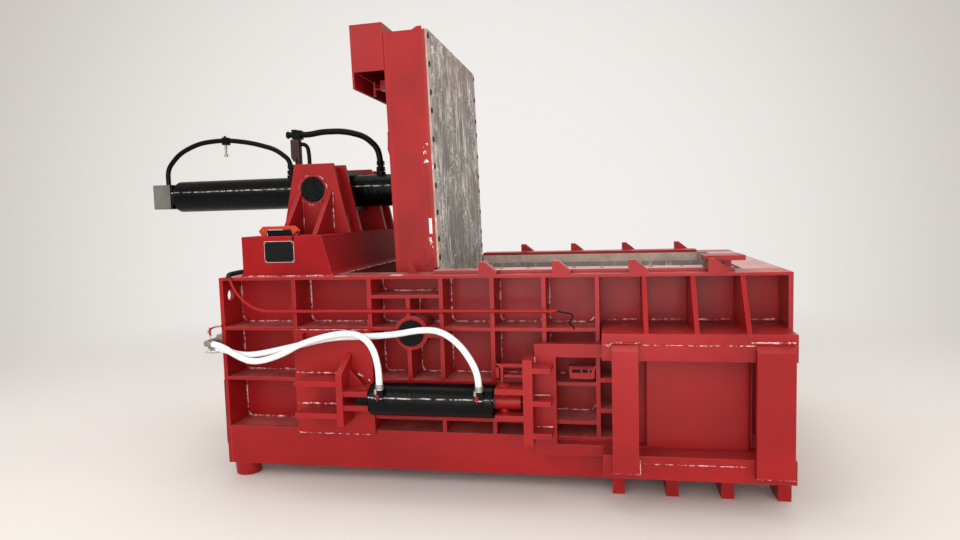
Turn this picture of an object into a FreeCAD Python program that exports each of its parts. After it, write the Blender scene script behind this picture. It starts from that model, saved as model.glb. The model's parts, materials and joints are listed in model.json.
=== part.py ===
# A hydraulic baler for scrap metal, lid open, gate shut and both rams drawn back, ready to be loaded.
# X runs along the press chamber from the rear end plate, Y across it from its middle, Z up from the floor.
import FreeCAD, Part
import math
import os
import Sketcher

# Driving sizes in millimetres and degrees. Levels are heights above the frame's underside.
SIZES = {
    # frame
    "frame_length": 3141,
    "frame_height": 1100,
    "floor_gap": 85,
    "chamber_width": 1430,
    "wall_plate": 25,
    "liner_plate": 20,
    "rib_depth": 210,
    "flange_plate": 16,
    "rib_plate": 22,
    "shelf_plate": 18,
    "end_plate": 22,
    "bottom_beam_rise": 222,
    "floor_rise": 200,
    "floor_plate": 25,
    "floor_beam_width": 90,
    "floor_beam_first": 700,
    "floor_beam_spacing": 520,
    "end_wall_depth": 201,
    "end_wall_plate": 40,
    "rib_one_place": 463,
    "rib_two_place": 914,
    "rib_three_place": 1326,
    "rib_four_place": 1610,
    "rib_five_place": 1890,
    "rib_six_back": 268,
    "hinge_rib_back": 13,
    "upper_shelf_level": 803,
    "middle_shelf_level": 509,
    "lower_shelf_level": 300,
    "short_shelf_level": 985,
    "boss_shelf_level": 765,
    "jamb_shelf_level": 532,
    "jamb_shelf_drop": 165,
    "service_hole": 68,
    "service_hole_inset": 85,
    "service_hole_level": 990,
    # outlet and its guide beams
    "outlet_margin": 20,
    "outlet_length": 480,
    "outlet_height": 460,
    "jamb_plate": 27,
    "gate_channel": 65,
    "beam_front": 129,
    "sill_level": 77,
    "gate_track_level": 136,
    "sill_lip_level": 196,
    "head_lip_level": 681,
    "gate_head_level": 741,
    "ledge_level": 800,
    "beam_start_gap": 12,
    "leaning_rib_spacing": 243,
    "post_depth": 46,
    "post_foot_level": 104,
    "post_head_level": 737,
    "post_bevel": 29,
    "left_post_back": 197,
    "left_post_width": 128,
    "right_post_gap": 5,
    "right_post_width": 175,
    # gate
    "gate_plate": 55,
    "gate_overrun": 3,
    "gate_stile": 113,
    "gate_window_gap": 7,
    "gate_foot_rail": 62,
    "gate_head_rail": 70,
    "gate_slide_gap": 0.5,
    "gate_back_gap": 4,
    "door_recess": 24,
    "door_bevel": 26,
    "bracket_plate": 44,
    "bracket_reach": 130,
    "bracket_low_level": 224,
    "bracket_high_level": 676,
    "bracket_rib": 27,
    "bracket_rib_reach": 100,
    "bracket_rib_first": 264,
    "bracket_rib_spacing": 171,
    "bracket_gap": 4,
    "clevis_plate": 28,
    "clevis_opening": 110,
    "gate_clevis_length": 150,
    # gate cylinder
    "gate_cylinder_tube": 180,
    "gate_tube_edge": 8,
    "gate_cylinder_out": 110,
    "gate_cylinder_level": 438,
    "gate_cylinder_back": 1491,
    "gate_cylinder_length": 686,
    "gate_rod": 80,
    "gate_rod_bore_depth": 640,
    "gate_rod_inside": 600,
    "gate_eye_length": 95,
    "gate_eye_back": 40,
    "gate_eye_height": 86,
    "gate_pin": 50,
    "gate_pin_back": 40,
    "pin_head_height": 10,
    "pin_head_spread": 16,
    "gate_tail_eye": 80,
    "gate_tail_width": 90,
    "gate_tail_pin_back": 36,
    "port_length": 43,
    "port_height": 70,
    "port_stand": 12,
    "port_inset": 51,
    "port_sink": 42,
    "port_hose_setback": 19,
    # gate cylinder mounting
    "mount_pad_setback": 489,
    "mount_pad_length": 466,
    "mount_pad_low_level": 203,
    "mount_pad_high_level": 803,
    "mount_pad_plate": 20,
    "mount_web_setback": 174,
    "mount_web": 34,
    "mount_web_reach": 195,
    "mount_web_low_level": 299,
    "mount_web_high_level": 631,
    "mount_web_bevel": 45,
    "mount_rib_setback": 417,
    "mount_rib": 28,
    "mount_rib_low_level": 341,
    "mount_rib_high_level": 518,
    "mount_clevis_gap": 2,
    "mount_clevis_inset": 10,
    "mount_gusset_reach": 80,
    "mount_gusset_offset": 40,
    "mount_gusset_plate": 20,
    "mount_clevis_opening": 50,
    # lid hinge
    "hinge_place": 1150,
    "hinge_level": 781,
    "hinge_shaft": 144,
    "hinge_shaft_bevel": 4,
    "hinge_stub": 20,
    "hinge_boss": 190,
    "hinge_boss_setback": 5,
    "running_gap": 0.05,
    # lid
    "lid_lean": 1.35,
    "lid_front": 118,
    "lid_back": 147,
    "lid_side_gap": 6,
    "lid_wear_plate": 30,
    "lid_wear_start": 80,
    "lid_back_plate": 20,
    "lid_face_web": 30,
    "lid_side_plate": 40,
    "lid_rib": 30,
    "lid_pocket_first": 150,
    "lid_pocket_last_gap": 35,
    "lid_end_gap": 19,
    "lid_head_rise": 58,
    "lid_band": 6,
    "lid_band_width": 55,
    "lid_band_rise": 15,
    "lid_band_start": 346,
    "lid_blade_width": 49,
    "lid_blade_start": 340,
    "lid_blade_end_gap": 3,
    "head_box_depth": 196,
    "head_box_height": 271,
    "head_box_plate": 18,
    "head_skirt_drop": 95,
    "head_skirt_plate": 12,
    "lug_gap": 156,
    "lug_plate": 34,
    "lug_reach": 199,
    "lug_foot_reach": 60,
    "lug_foot_rise": 80,
    "lug_waist_drop": 60,
    "lug_shoulder_inset": 37,
    "lug_shoulder_rise": 12,
    "lug_tip_rise": 150,
    "lug_tip_inset": 8,
    "lug_crown_rise": 265,
    "lug_end_rise": 290,
    "latch_offset": 510,
    "latch_level": 1418,
    "latch_block": 60,
    "latch_reach": 83,
    "latch_screw": 16,
    "latch_screw_rise": 15,
    "latch_screw_out": 55,
    "latch_handle": 84,
    "latch_handle_thickness": 20,
    "latch_handle_inset": 8,
    "spring_level": 1178,
    "spring_height": 164,
    "spring_width": 46,
    "spring_wire": 6,
    "spring_pitch": 20,
    "spring_rod": 20,
    "spring_stand": 30,
    "spring_seat_drop": 14,
    "spring_seat_plate": 12,
    "spring_seat_reach": 28,
    "spring_cap": 10,
    # lid cylinder and rod
    "lid_pin_back": 120.4,
    "lid_pin_up": 834,
    "lid_pin": 90,
    "lid_pin_end_gap": 8,
    "rod_eye": 190,
    "rod_eye_width": 130,
    "lid_slot_below": 274,
    "lid_slot_above": 122,
    "lid_slot_depth": 185,
    "lid_rod": 120,
    "lid_rod_inside": 1150,
    "lid_rod_bore_spare": 60,
    "lid_tube": 220,
    "lid_tube_front": 408,
    "lid_tube_back": 1275,
    "lid_tube_round": 40,
    "lid_tube_edge": 6,
    "lid_gland": 150,
    "lid_gland_length": 22,
    "tail_block": 174,
    "tail_block_length": 135,
    "tail_block_inset": 15,
    "trunnion_place": 392,
    "trunnion_block": 260,
    "trunnion_block_length": 230,
    "trunnion_block_half": 215,
    "trunnion_journal": 163,
    "journal_setback": 2,
    # trunnion supports
    "support_inner": 245,
    "support_outer": 473,
    "support_top_half": 131,
    "support_bottom_half": 212,
    "support_plate": 25,
    "support_crown": 163,
    "support_boss": 183,
    "support_boss_stand": 10,
    "gusset_plate": 30,
    "gusset_rise": 267,
    "front_gusset_offset": 138,
    "front_gusset_toe": 215,
    "rear_gusset_offset": 71,
    "rear_gusset_toe": 123,
    # rear housing
    "housing_start": 125,
    "housing_length": 549,
    "housing_slope": 56,
    "housing_height": 211,
    "housing_inset": 60,
    "housing_sheet": 12,
    "housing_foot": 22,
    "housing_foot_spread": 18,
    "handle_start": 200,
    "handle_length": 290,
    "handle_height": 60,
    "handle_plate": 14,
    "handle_inset": 52,
    "handle_slot_length": 150,
    "handle_slot_height": 24,
    "handle_slot_level": 35,
    "handle_corner": 26,
    # top of the side walls
    "blade_holder_start": 1264,
    "blade_holder_end_gap": 63,
    "blade_holder_width": 165,
    "blade_holder_plate": 20,
    "shear_blade_height": 60,
    "stop_block_first": 1540,
    "stop_block_spacing": 398,
    "stop_block_length": 98,
    "stop_block_height": 72,
    "stop_block_flat": 33,
    "stop_block_toe": 20,
    "stop_block_width": 60,
    "limit_post_back": 117,
    "limit_post_width": 39,
    "limit_post_height": 57,
    "limit_post_depth": 50,
    "limit_post_inset": 110,
    "limit_beam_back": 217,
    "limit_beam_length": 202,
    "limit_beam_height": 26,
    "limit_beam_inset": 60,
    "limit_beam_width": 180,
    # main ram
    "ram_face_place": 1245,
    "ram_length": 600,
    "ram_top_gap": 13,
    "ram_side_gap": 5,
    "slide_gap": 0.5,
    "ram_wall": 30,
    "ram_face_plate": 40,
    "ram_stroke": 1190,
    "ram_level": 426,
    "main_tube": 250,
    "main_tube_edge": 10,
    "main_tube_start": 400,
    "main_tube_front": 1040,
    "main_rod": 140,
    "main_rod_overlap": 150,
    "bore_spare": 40,
    "main_plate_place": 560,
    "main_plate": 40,
    "main_plate_top_gap": 120,
    "main_collar": 320,
    "main_collar_length": 40,
    "main_end_hole": 290,
    "ram_cover_plate": 25,
    "ram_cover_gap": 5,
    "ram_cover_end": 985,
    # side pusher on the far wall
    "pusher_length": 600,
    "pusher_setback": 2,
    "pusher_end_gap": 3,
    "pusher_top_gap": 3,
    "pusher_wall": 25,
    "pusher_face_plate": 40,
    "pusher_stroke": 1658,
    "pusher_tube": 200,
    "pusher_tube_edge": 10,
    "pusher_tube_gap": 47,
    "pusher_tube_length": 2085,
    "pusher_rod": 110,
    "pusher_rod_overlap": 120,
    "tunnel_length": 430,
    "tunnel_sheet": 25,
    "tunnel_end_plate": 40,
    "tunnel_end_margin": 35,
    "pusher_collar": 270,
    "pusher_collar_length": 40,
    "stand_setback": 285,
    "stand_plate": 30,
    "stand_width": 260,
    "stand_foot_depth": 180,
    "stand_foot": 20,
    # feet
    "round_foot": 180,
    "round_foot_stem": 144,
    "round_foot_sole": 30,
    "round_foot_shoulder": 38,
    "round_foot_place": 88,
    "round_foot_inset": 90,
    "plate_foot_width": 64,
    "plate_foot_depth": 200,
    "plate_foot_spacing": 279,
    # pipes and hoses
    "side_pipe": 20,
    "side_pipe_start": 267,
    "side_pipe_length": 1695,
    "side_pipe_level": 905,
    "rear_lid_pipe": 34,
    "front_lid_pipe": 42,
    "short_lid_pipe": 28,
    "pipe_bracket_back": 330,
    "pipe_bracket_length": 44,
    "pipe_bracket_plate": 24,
    "pipe_clamp_height": 375,
    "pipe_clamp": 62,
    "pipe_clamp_overhang": 8,
    "gate_hose": 35,
    "hose_manifold_depth": 46,
    "hose_manifold_width": 60,
    "hose_manifold_inset": 15,
    "hose_manifold_low_level": 660,
    "hose_manifold_high_level": 762,
    "hose_elbow": 34,
    "hose_elbow_body": 38,
    "hose_elbow_length": 26,
    "hose_elbow_tilt": 11.31,
    "hose_elbow_end": 12,
    "front_hose_out": 82,
    "front_hose_level": 727,
    "rear_hose_out": 42,
    "rear_hose_level": 695,
}

doc = FreeCAD.newDocument("ScrapBaler")
sheet = doc.addObject("Spreadsheet::Sheet", "Sizes")


class Size:
    # A number together with the expression over the sheet that gives it.
    def __init__(self, number, text):
        self.number = number
        self.text = text

    def __add__(self, other):
        return combine(self, "+", sized(other))

    def __radd__(self, other):
        return combine(sized(other), "+", self)

    def __sub__(self, other):
        return combine(self, "-", sized(other))

    def __rsub__(self, other):
        return combine(sized(other), "-", self)

    def __mul__(self, other):
        return combine(self, "*", sized(other))

    def __rmul__(self, other):
        return combine(sized(other), "*", self)

    def __truediv__(self, other):
        return combine(self, "/", sized(other))

    def __neg__(self):
        return combine(sized(0), "-", self)


def sized(value):
    if isinstance(value, Size):
        return value
    return Size(float(value), "(%s)" % float(value))


def combine(left, sign, right):
    results = {
        "+": left.number + right.number,
        "-": left.number - right.number,
        "*": left.number * right.number,
    }
    if sign == "/":
        results[sign] = left.number / right.number
    return Size(results[sign], "(%s %s %s)" % (left.text, sign, right.text))


def cosine(angle):
    return Size(math.cos(math.radians(angle.number)), "cos(%s * 1deg)" % angle.text)


def sine(angle):
    return Size(math.sin(math.radians(angle.number)), "sin(%s * 1deg)" % angle.text)


class SizeTable:
    def __init__(self, values):
        for row, (name, value) in enumerate(values.items(), start=1):
            sheet.set("A%d" % row, name.replace("_", " "))
            sheet.set("B%d" % row, str(value))
            sheet.setAlias("B%d" % row, name)
            setattr(self, name, Size(float(value), "Sizes." + name))


d = SizeTable(SIZES)
doc.recompute()

nodes = {}


def node(label, item):
    item.Label = label
    nodes[label] = item
    return item


bases = {}


def place(item, x=0, y=0, z=0):
    bases[item.Name] = (sized(x), sized(y), sized(z))
    item.setExpression(".Placement.Base.x", sized(x).text)
    item.setExpression(".Placement.Base.y", sized(y).text)
    item.setExpression(".Placement.Base.z", sized(z).text)
    return item


def turn(item, axis, angle):
    item.Placement = FreeCAD.Placement(FreeCAD.Vector(), FreeCAD.Rotation(axis, 30))
    item.setExpression(".Placement.Rotation.Angle", sized(angle).text)
    return item


ALONG_X = FreeCAD.Vector(1, 0, 0)
ALONG_Y = FreeCAD.Vector(0, 1, 0)
ALONG_Z = FreeCAD.Vector(0, 0, 1)


def box(x, y, z):
    # a block between a low and a high value on each axis
    item = doc.addObject("Part::Box", "Block")
    for name, (low, high) in (("Length", x), ("Width", y), ("Height", z)):
        item.setExpression(name, (sized(high) - low).text)
    return place(item, x[0], y[0], z[0])


def bar(axis, centre, diameter, span):
    # a round bar along one axis; centre holds its two other coordinates in X, Y, Z order
    item = doc.addObject("Part::Cylinder", "Bar")
    item.setExpression("Radius", (sized(diameter) / 2).text)
    item.setExpression("Height", (sized(span[1]) - span[0]).text)
    if axis == "X":
        turn(item, ALONG_Y, 90)
        return place(item, span[0], centre[0], centre[1])
    if axis == "Y":
        turn(item, ALONG_X, -90)
        return place(item, centre[0], span[0], centre[1])
    return place(item, centre[0], centre[1], span[0])


def outline(body, plane, points):
    # a closed outline of straight edges, each corner held by its two distances from the origin
    sketch = body.newObject("Sketcher::SketchObject", "Outline")
    support = [item for item in body.Origin.OriginFeatures if item.Role == plane + "_Plane"]
    sketch.AttachmentSupport = [(support[0], "")]
    sketch.MapMode = "FlatFace"
    corners = [(sized(a), sized(b)) for a, b in points]
    count = len(corners)
    for index in range(count):
        start = corners[index]
        end = corners[(index + 1) % count]
        edge = Part.LineSegment(FreeCAD.Vector(start[0].number, start[1].number, 0),
                                FreeCAD.Vector(end[0].number, end[1].number, 0))
        sketch.addGeometry(edge, False)
    for index in range(count):
        sketch.addConstraint(Sketcher.Constraint("Coincident", index, 2, (index + 1) % count, 1))
    for index, corner in enumerate(corners):
        for kind, value in (("DistanceX", corner[0]), ("DistanceY", corner[1])):
            rule = sketch.addConstraint(Sketcher.Constraint(kind, -1, 1, index, 1, value.number))
            sketch.renameConstraint(rule, "%s%d" % (kind, index))
            sketch.setExpression("Constraints.%s%d" % (kind, index), value.text)
    return sketch


def plate(plane, points, span):
    # a plate of the outline in plane XZ, YZ or XY, between two values of the third axis
    body = doc.addObject("PartDesign::Body", "PlateBody")
    sketch = outline(body, plane, points)
    pad = body.newObject("PartDesign::Pad", "PlatePad")
    pad.Profile = sketch
    pad.setExpression("Length", (sized(span[1]) - span[0]).text)
    body.Tip = pad
    if plane == "XZ":
        return place(body, 0, span[1], 0)
    if plane == "YZ":
        return place(body, span[0], 0, 0)
    return place(body, 0, 0, span[0])


def turned(points, axis="X", x=0, y=0, z=0):
    # a turned piece: points are distances along the axis and radii
    body = doc.addObject("PartDesign::Body", "TurnedBody")
    sketch = outline(body, "XZ", points)
    spin = body.newObject("PartDesign::Revolution", "TurnedForm")
    spin.Profile = sketch
    spin.ReferenceAxis = (sketch, ["H_Axis"])
    spin.Angle = 360
    body.Tip = spin
    if axis == "Y":
        turn(body, ALONG_Z, 90)
    if axis == "Z":
        turn(body, ALONG_Y, -90)
    return place(body, x, y, z)


def fuse(*items):
    if len(items) == 1:
        return items[0]
    item = doc.addObject("Part::MultiFuse", "Weldment")
    item.Shapes = list(items)
    item.Refine = True
    return item


def cut(base, *tools):
    item = doc.addObject("Part::Cut", "Opened")
    item.Base = base
    item.Tool = fuse(*tools)
    item.Refine = True
    return item


# Welded pieces reach this far into each other, and cutting tools this far past what they cut
SPARE = 1
NEAR = -1
FAR = 1
SIDE_NAMES = {NEAR: "near", FAR: "far"}


def across(side, inner, outer):
    # the Y span between two distances from the middle, on one side
    if side == FAR:
        return (sized(inner), sized(outer))
    return (-sized(outer), -sized(inner))


def level(height):
    return d.floor_gap + height


# Faces that the pieces share
chamber_half = d.chamber_width / 2
liner_out = chamber_half + d.liner_plate
wall_out = liner_out + d.wall_plate
rib_face = wall_out + d.rib_depth
frame_low = level(0)
frame_top = level(d.frame_height)
flange_low = frame_top - d.flange_plate
floor_top = level(d.floor_rise)
end_wall_face = d.frame_length - d.end_wall_depth
outlet_right = end_wall_face - d.outlet_margin
outlet_left = outlet_right - d.outlet_length
outlet_top = floor_top + d.outlet_height
rib_six_place = outlet_left - d.rib_six_back
hinge_height = level(d.hinge_level)
lid_half = chamber_half - d.lid_side_gap
ram_top = hinge_height - d.lid_front - d.ram_top_gap
ledge_top = level(d.ledge_level)


# --- frame -----------------------------------------------------------------------------------------

def wall_plate_of(side):
    wall = box((d.end_plate, d.frame_length - d.end_plate), across(side, liner_out, wall_out),
               (frame_low, flange_low))
    opening = box((outlet_left, outlet_right), across(side, liner_out - SPARE, wall_out + SPARE),
                  (floor_top, outlet_top))
    hinge_hole = bar("Y", (d.hinge_place, hinge_height), d.hinge_boss,
                     across(side, liner_out - SPARE, wall_out + SPARE))
    return node("%s_wall_plate" % SIDE_NAMES[side], cut(wall, opening, hinge_hole))


def liner_of(side):
    liner = box((d.main_plate_place + d.main_plate, end_wall_face), across(side, chamber_half, liner_out),
                (floor_top, frame_top))
    opening = box((outlet_left, outlet_right), across(side, chamber_half - SPARE, liner_out + SPARE),
                  (floor_top - SPARE, outlet_top))
    hinge_hole = bar("Y", (d.hinge_place, hinge_height), d.hinge_boss,
                     across(side, chamber_half - SPARE, liner_out + SPARE))
    blade_seat = box((d.blade_holder_start, end_wall_face - d.blade_holder_end_gap),
                     across(side, chamber_half - SPARE, liner_out + SPARE),
                     (frame_top - d.shear_blade_height, frame_top + SPARE))
    return node("%s_liner" % SIDE_NAMES[side], cut(liner, opening, hinge_hole, blade_seat))


def upright(side, place_x, low, high):
    half = d.rib_plate / 2
    return box((place_x - half, place_x + half), across(side, wall_out, rib_face), (low, high))


def shelf(side, start, end, height, thickness):
    return box((start, end), across(side, wall_out, rib_face),
               (level(height) - thickness / 2, level(height) + thickness / 2))


def stop_blocks(side):
    # four blocks on the flange's outer edge, each flat at its head and sloping down to its toe
    blocks = []
    for count in range(4):
        start = d.stop_block_first + d.stop_block_spacing * count
        points = [
            (start, frame_top - SPARE),
            (start + d.stop_block_length, frame_top - SPARE),
            (start + d.stop_block_length, frame_top + d.stop_block_toe),
            (start + d.stop_block_flat, frame_top + d.stop_block_height),
            (start, frame_top + d.stop_block_height),
        ]
        blocks.append(plate("XZ", points, across(side, rib_face - d.stop_block_width, rib_face)))
    return blocks


def plate_feet(side):
    feet = []
    for count in range(4):
        end = d.frame_length - d.plate_foot_spacing * count
        feet.append(box((end - d.plate_foot_width, end),
                        across(side, rib_face - d.plate_foot_depth, rib_face), (0, frame_low)))
    return feet


def ribs_of(side):
    beam_top = level(d.bottom_beam_rise)
    jamb_left = outlet_left - d.jamb_plate
    jamb_right = outlet_right + d.jamb_plate
    beyond = d.frame_length - d.end_plate
    pieces = [
        box((0, d.frame_length), across(side, liner_out, rib_face), (flange_low, frame_top)),
        box((d.end_plate, jamb_left + SPARE), across(side, wall_out, rib_face), (frame_low, beam_top)),
        box((jamb_left, beyond), across(side, wall_out, rib_face), (frame_low, floor_top)),
        box((jamb_left, outlet_left), across(side, wall_out, rib_face), (floor_top, ledge_top)),
        box((outlet_right, jamb_right), across(side, wall_out, rib_face), (floor_top, ledge_top)),
        box((jamb_left, jamb_right), across(side, wall_out, rib_face), (outlet_top, ledge_top)),
    ]
    for place_x in (d.rib_one_place, d.rib_two_place, d.rib_three_place, d.rib_four_place,
                    d.rib_five_place, rib_six_place):
        pieces.append(upright(side, place_x, beam_top - SPARE, flange_low + SPARE))
    pieces.append(upright(side, d.hinge_place - d.hinge_rib_back, level(d.middle_shelf_level),
                          level(d.short_shelf_level)))
    pieces += [
        shelf(side, d.end_plate, rib_six_place, d.upper_shelf_level, d.shelf_plate),
        shelf(side, d.end_plate, rib_six_place, d.middle_shelf_level, d.shelf_plate),
        shelf(side, d.rib_two_place, rib_six_place, d.lower_shelf_level, d.shelf_plate),
        shelf(side, d.rib_two_place, d.rib_three_place, d.short_shelf_level, d.shelf_plate),
        shelf(side, d.hinge_place - d.hinge_rib_back, d.rib_three_place, d.boss_shelf_level,
              d.shelf_plate),
        shelf(side, rib_six_place, jamb_left + SPARE, d.jamb_shelf_level, d.rib_plate),
        shelf(side, rib_six_place, jamb_left + SPARE, d.jamb_shelf_level - d.jamb_shelf_drop, d.rib_plate),
    ]
    if side == FAR:
        for count in range(3):
            pieces.append(upright(side, jamb_left + d.leaning_rib_spacing * count, ledge_top - 1,
                                  flange_low + SPARE))
    # the boss of the lid's shaft runs through the ribs, the wall plate and the liner
    hole = bar("Y", (d.hinge_place, hinge_height), d.hinge_shaft,
               across(side, chamber_half - SPARE, rib_face + SPARE))
    pieces.append(bar("Y", (d.hinge_place, hinge_height), d.hinge_boss,
                      across(side, chamber_half, rib_face - d.hinge_boss_setback)))
    pieces += plate_feet(side) + stop_blocks(side)
    return node("%s_wall_ribs" % SIDE_NAMES[side], cut(fuse(*pieces), hole))


def rear_end_plate():
    sheet_plate = box((0, d.end_plate), (-rib_face, rib_face), (frame_low, flange_low))
    tube_hole = bar("X", (0, level(d.ram_level)), d.main_end_hole, (-1, d.end_plate + SPARE))
    service_hole = bar("X", (-(rib_face - d.service_hole_inset), level(d.service_hole_level)),
                       d.service_hole, (-1, d.end_plate + SPARE))
    return node("rear_end_plate", cut(sheet_plate, tube_hole, service_hole))


def front_end_wall():
    # a box of two plates with three shelves between them and a cover plate on top
    inner_end = end_wall_face + d.end_wall_plate
    outer_start = d.frame_length - d.end_plate
    pieces = [
        box((end_wall_face, inner_end), (-liner_out, liner_out), (frame_low, frame_top)),
        box((outer_start, d.frame_length), (-rib_face, rib_face), (frame_low, flange_low)),
        box((inner_end - SPARE, d.frame_length), (-liner_out, liner_out), (flange_low, frame_top)),
    ]
    for height in (d.sill_lip_level, d.middle_shelf_level, d.upper_shelf_level):
        pieces.append(box((inner_end - SPARE, outer_start + SPARE), (-liner_out, liner_out),
                          (level(height) - d.rib_plate / 2, level(height) + d.rib_plate / 2)))
    return node("front_end_wall", fuse(*pieces))


def chamber_floor():
    plate_low = floor_top - d.floor_plate
    pieces = [box((d.main_plate_place + d.main_plate, end_wall_face), (-liner_out, liner_out),
                  (plate_low, floor_top))]
    for count in range(5):
        start = d.floor_beam_first + d.floor_beam_spacing * count
        pieces.append(box((start, start + d.floor_beam_width), (-liner_out, liner_out),
                          (frame_low, plate_low + SPARE)))
    return node("chamber_floor", fuse(*pieces))


def guide_beam_profile(points, label, ribs=()):
    start = rib_six_place + d.rib_plate / 2 + d.beam_start_gap
    beam = plate("YZ", points, (start, d.frame_length - d.end_plate))
    return node(label, fuse(beam, *ribs))


def outlet_top_beam():
    # the block hangs in front of the gate; the ledge above it carries three leaning ribs
    gate_front = rib_face + d.gate_channel
    front = gate_front + d.beam_front
    gate_head = level(d.gate_head_level)
    points = [
        (-front, level(d.head_lip_level)),
        (-gate_front, level(d.head_lip_level)),
        (-gate_front, gate_head),
        (-rib_face, gate_head),
        (-rib_face, ledge_top),
        (-wall_out, ledge_top),
        (-wall_out, ledge_top + d.flange_plate),
        (-front, ledge_top + d.flange_plate),
    ]
    ribs = []
    for count in range(3):
        middle = outlet_left - d.jamb_plate + d.leaning_rib_spacing * count
        rib_points = [
            (-wall_out, ledge_top + d.flange_plate - 1),
            (-front, ledge_top + d.flange_plate - 1),
            (-front, ledge_top + d.flange_plate),
            (-rib_face, flange_low),
            (-wall_out, flange_low),
        ]
        ribs.append(plate("YZ", rib_points, (middle - d.rib_plate / 2, middle + d.rib_plate / 2)))
    return guide_beam_profile(points, "outlet_top_beam", ribs)


def outlet_bottom_beam():
    gate_front = rib_face + d.gate_channel
    front = gate_front + d.beam_front
    track = level(d.gate_track_level)
    points = [
        (-front, level(d.sill_level)),
        (-rib_face, level(d.sill_level)),
        (-rib_face, track),
        (-gate_front, track),
        (-gate_front, level(d.sill_lip_level)),
        (-front, level(d.sill_lip_level)),
    ]
    return guide_beam_profile(points, "outlet_bottom_beam")


def outlet_post(label, start, width):
    # the head is bevelled towards the beam behind it
    back = rib_face + d.gate_channel + d.beam_front
    front = back + d.post_depth
    low = level(d.post_foot_level)
    high = level(d.post_head_level)
    points = [
        (-front, low + d.post_bevel / 2),
        (-back, low),
        (-back, high + d.post_bevel),
        (-front, high),
    ]
    return node(label, plate("YZ", points, (start, start + width)))


for side in (NEAR, FAR):
    wall_plate_of(side)
    liner_of(side)
    ribs_of(side)
rear_end_plate()
front_end_wall()
chamber_floor()
outlet_top_beam()
outlet_bottom_beam()
outlet_post("outlet_post_left", outlet_left - d.left_post_back, d.left_post_width)
outlet_post("outlet_post_right", outlet_right + d.right_post_gap, d.right_post_width)

shaft_end = rib_face + d.hinge_stub
node("hinge_shaft", turned([
    (-shaft_end, 0),
    (shaft_end, 0),
    (shaft_end, d.hinge_shaft / 2 - d.hinge_shaft_bevel),
    (shaft_end - d.hinge_shaft_bevel, d.hinge_shaft / 2),
    (-shaft_end + d.hinge_shaft_bevel, d.hinge_shaft / 2),
    (-shaft_end, d.hinge_shaft / 2 - d.hinge_shaft_bevel),
], "Y", d.hinge_place, 0, hinge_height))


# --- rear housing and the supports of the lid cylinder ---------------------------------------------

housing_base = frame_top + d.housing_foot
housing_top = housing_base + d.housing_height
housing_end = d.housing_start + d.housing_length
housing_half = rib_face - d.housing_inset


def rear_housing():
    spread = d.housing_foot_spread
    foot_points = [
        (d.housing_start - spread, frame_top),
        (housing_end + spread, frame_top),
        (housing_end, housing_base),
        (d.housing_start, housing_base),
    ]
    shell_points = [
        (d.housing_start, housing_base - SPARE),
        (housing_end, housing_base - SPARE),
        (housing_end, housing_base),
        (housing_end - d.housing_slope, housing_top),
        (d.housing_start, housing_top),
    ]
    sheet_in = d.housing_sheet
    hollow_points = [
        (d.housing_start + sheet_in, frame_top - SPARE),
        (housing_end - sheet_in, frame_top - SPARE),
        (housing_end - sheet_in, housing_base),
        (housing_end - d.housing_slope - sheet_in, housing_top - sheet_in),
        (d.housing_start + sheet_in, housing_top - sheet_in),
    ]
    shell = fuse(plate("XZ", foot_points, (-housing_half, housing_half)),
                 plate("XZ", shell_points, (-housing_half, housing_half)))
    hollow = plate("XZ", hollow_points, (-(housing_half - sheet_in), housing_half - sheet_in))
    return node("rear_housing", cut(shell, hollow))


def handle_plate():
    start = d.handle_start
    end = start + d.handle_length
    high = housing_top + d.handle_height
    corner = d.handle_corner
    points = [
        (start, housing_top),
        (end, housing_top),
        (end, high - corner),
        (end - corner, high),
        (start + corner, high),
        (start, high - corner),
    ]
    front = housing_half - d.handle_inset
    span = (-front, -front + d.handle_plate)
    middle = start + d.handle_length / 2
    slot_middle = housing_top + d.handle_slot_level
    slot = box((middle - d.handle_slot_length / 2, middle + d.handle_slot_length / 2),
               (span[0] - SPARE, span[1] + SPARE),
               (slot_middle - d.handle_slot_height / 2, slot_middle + d.handle_slot_height / 2))
    return node("handle_plate", cut(plate("XZ", points, span), slot))


# The lid's pin at rest, from the hinge and the lid's lean, sets the level of the lying cylinder.
pin_place = d.hinge_place - d.lid_pin_back * cosine(d.lid_lean) - d.lid_pin_up * sine(d.lid_lean)
pin_height = hinge_height - d.lid_pin_back * sine(d.lid_lean) + d.lid_pin_up * cosine(d.lid_lean)


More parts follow.
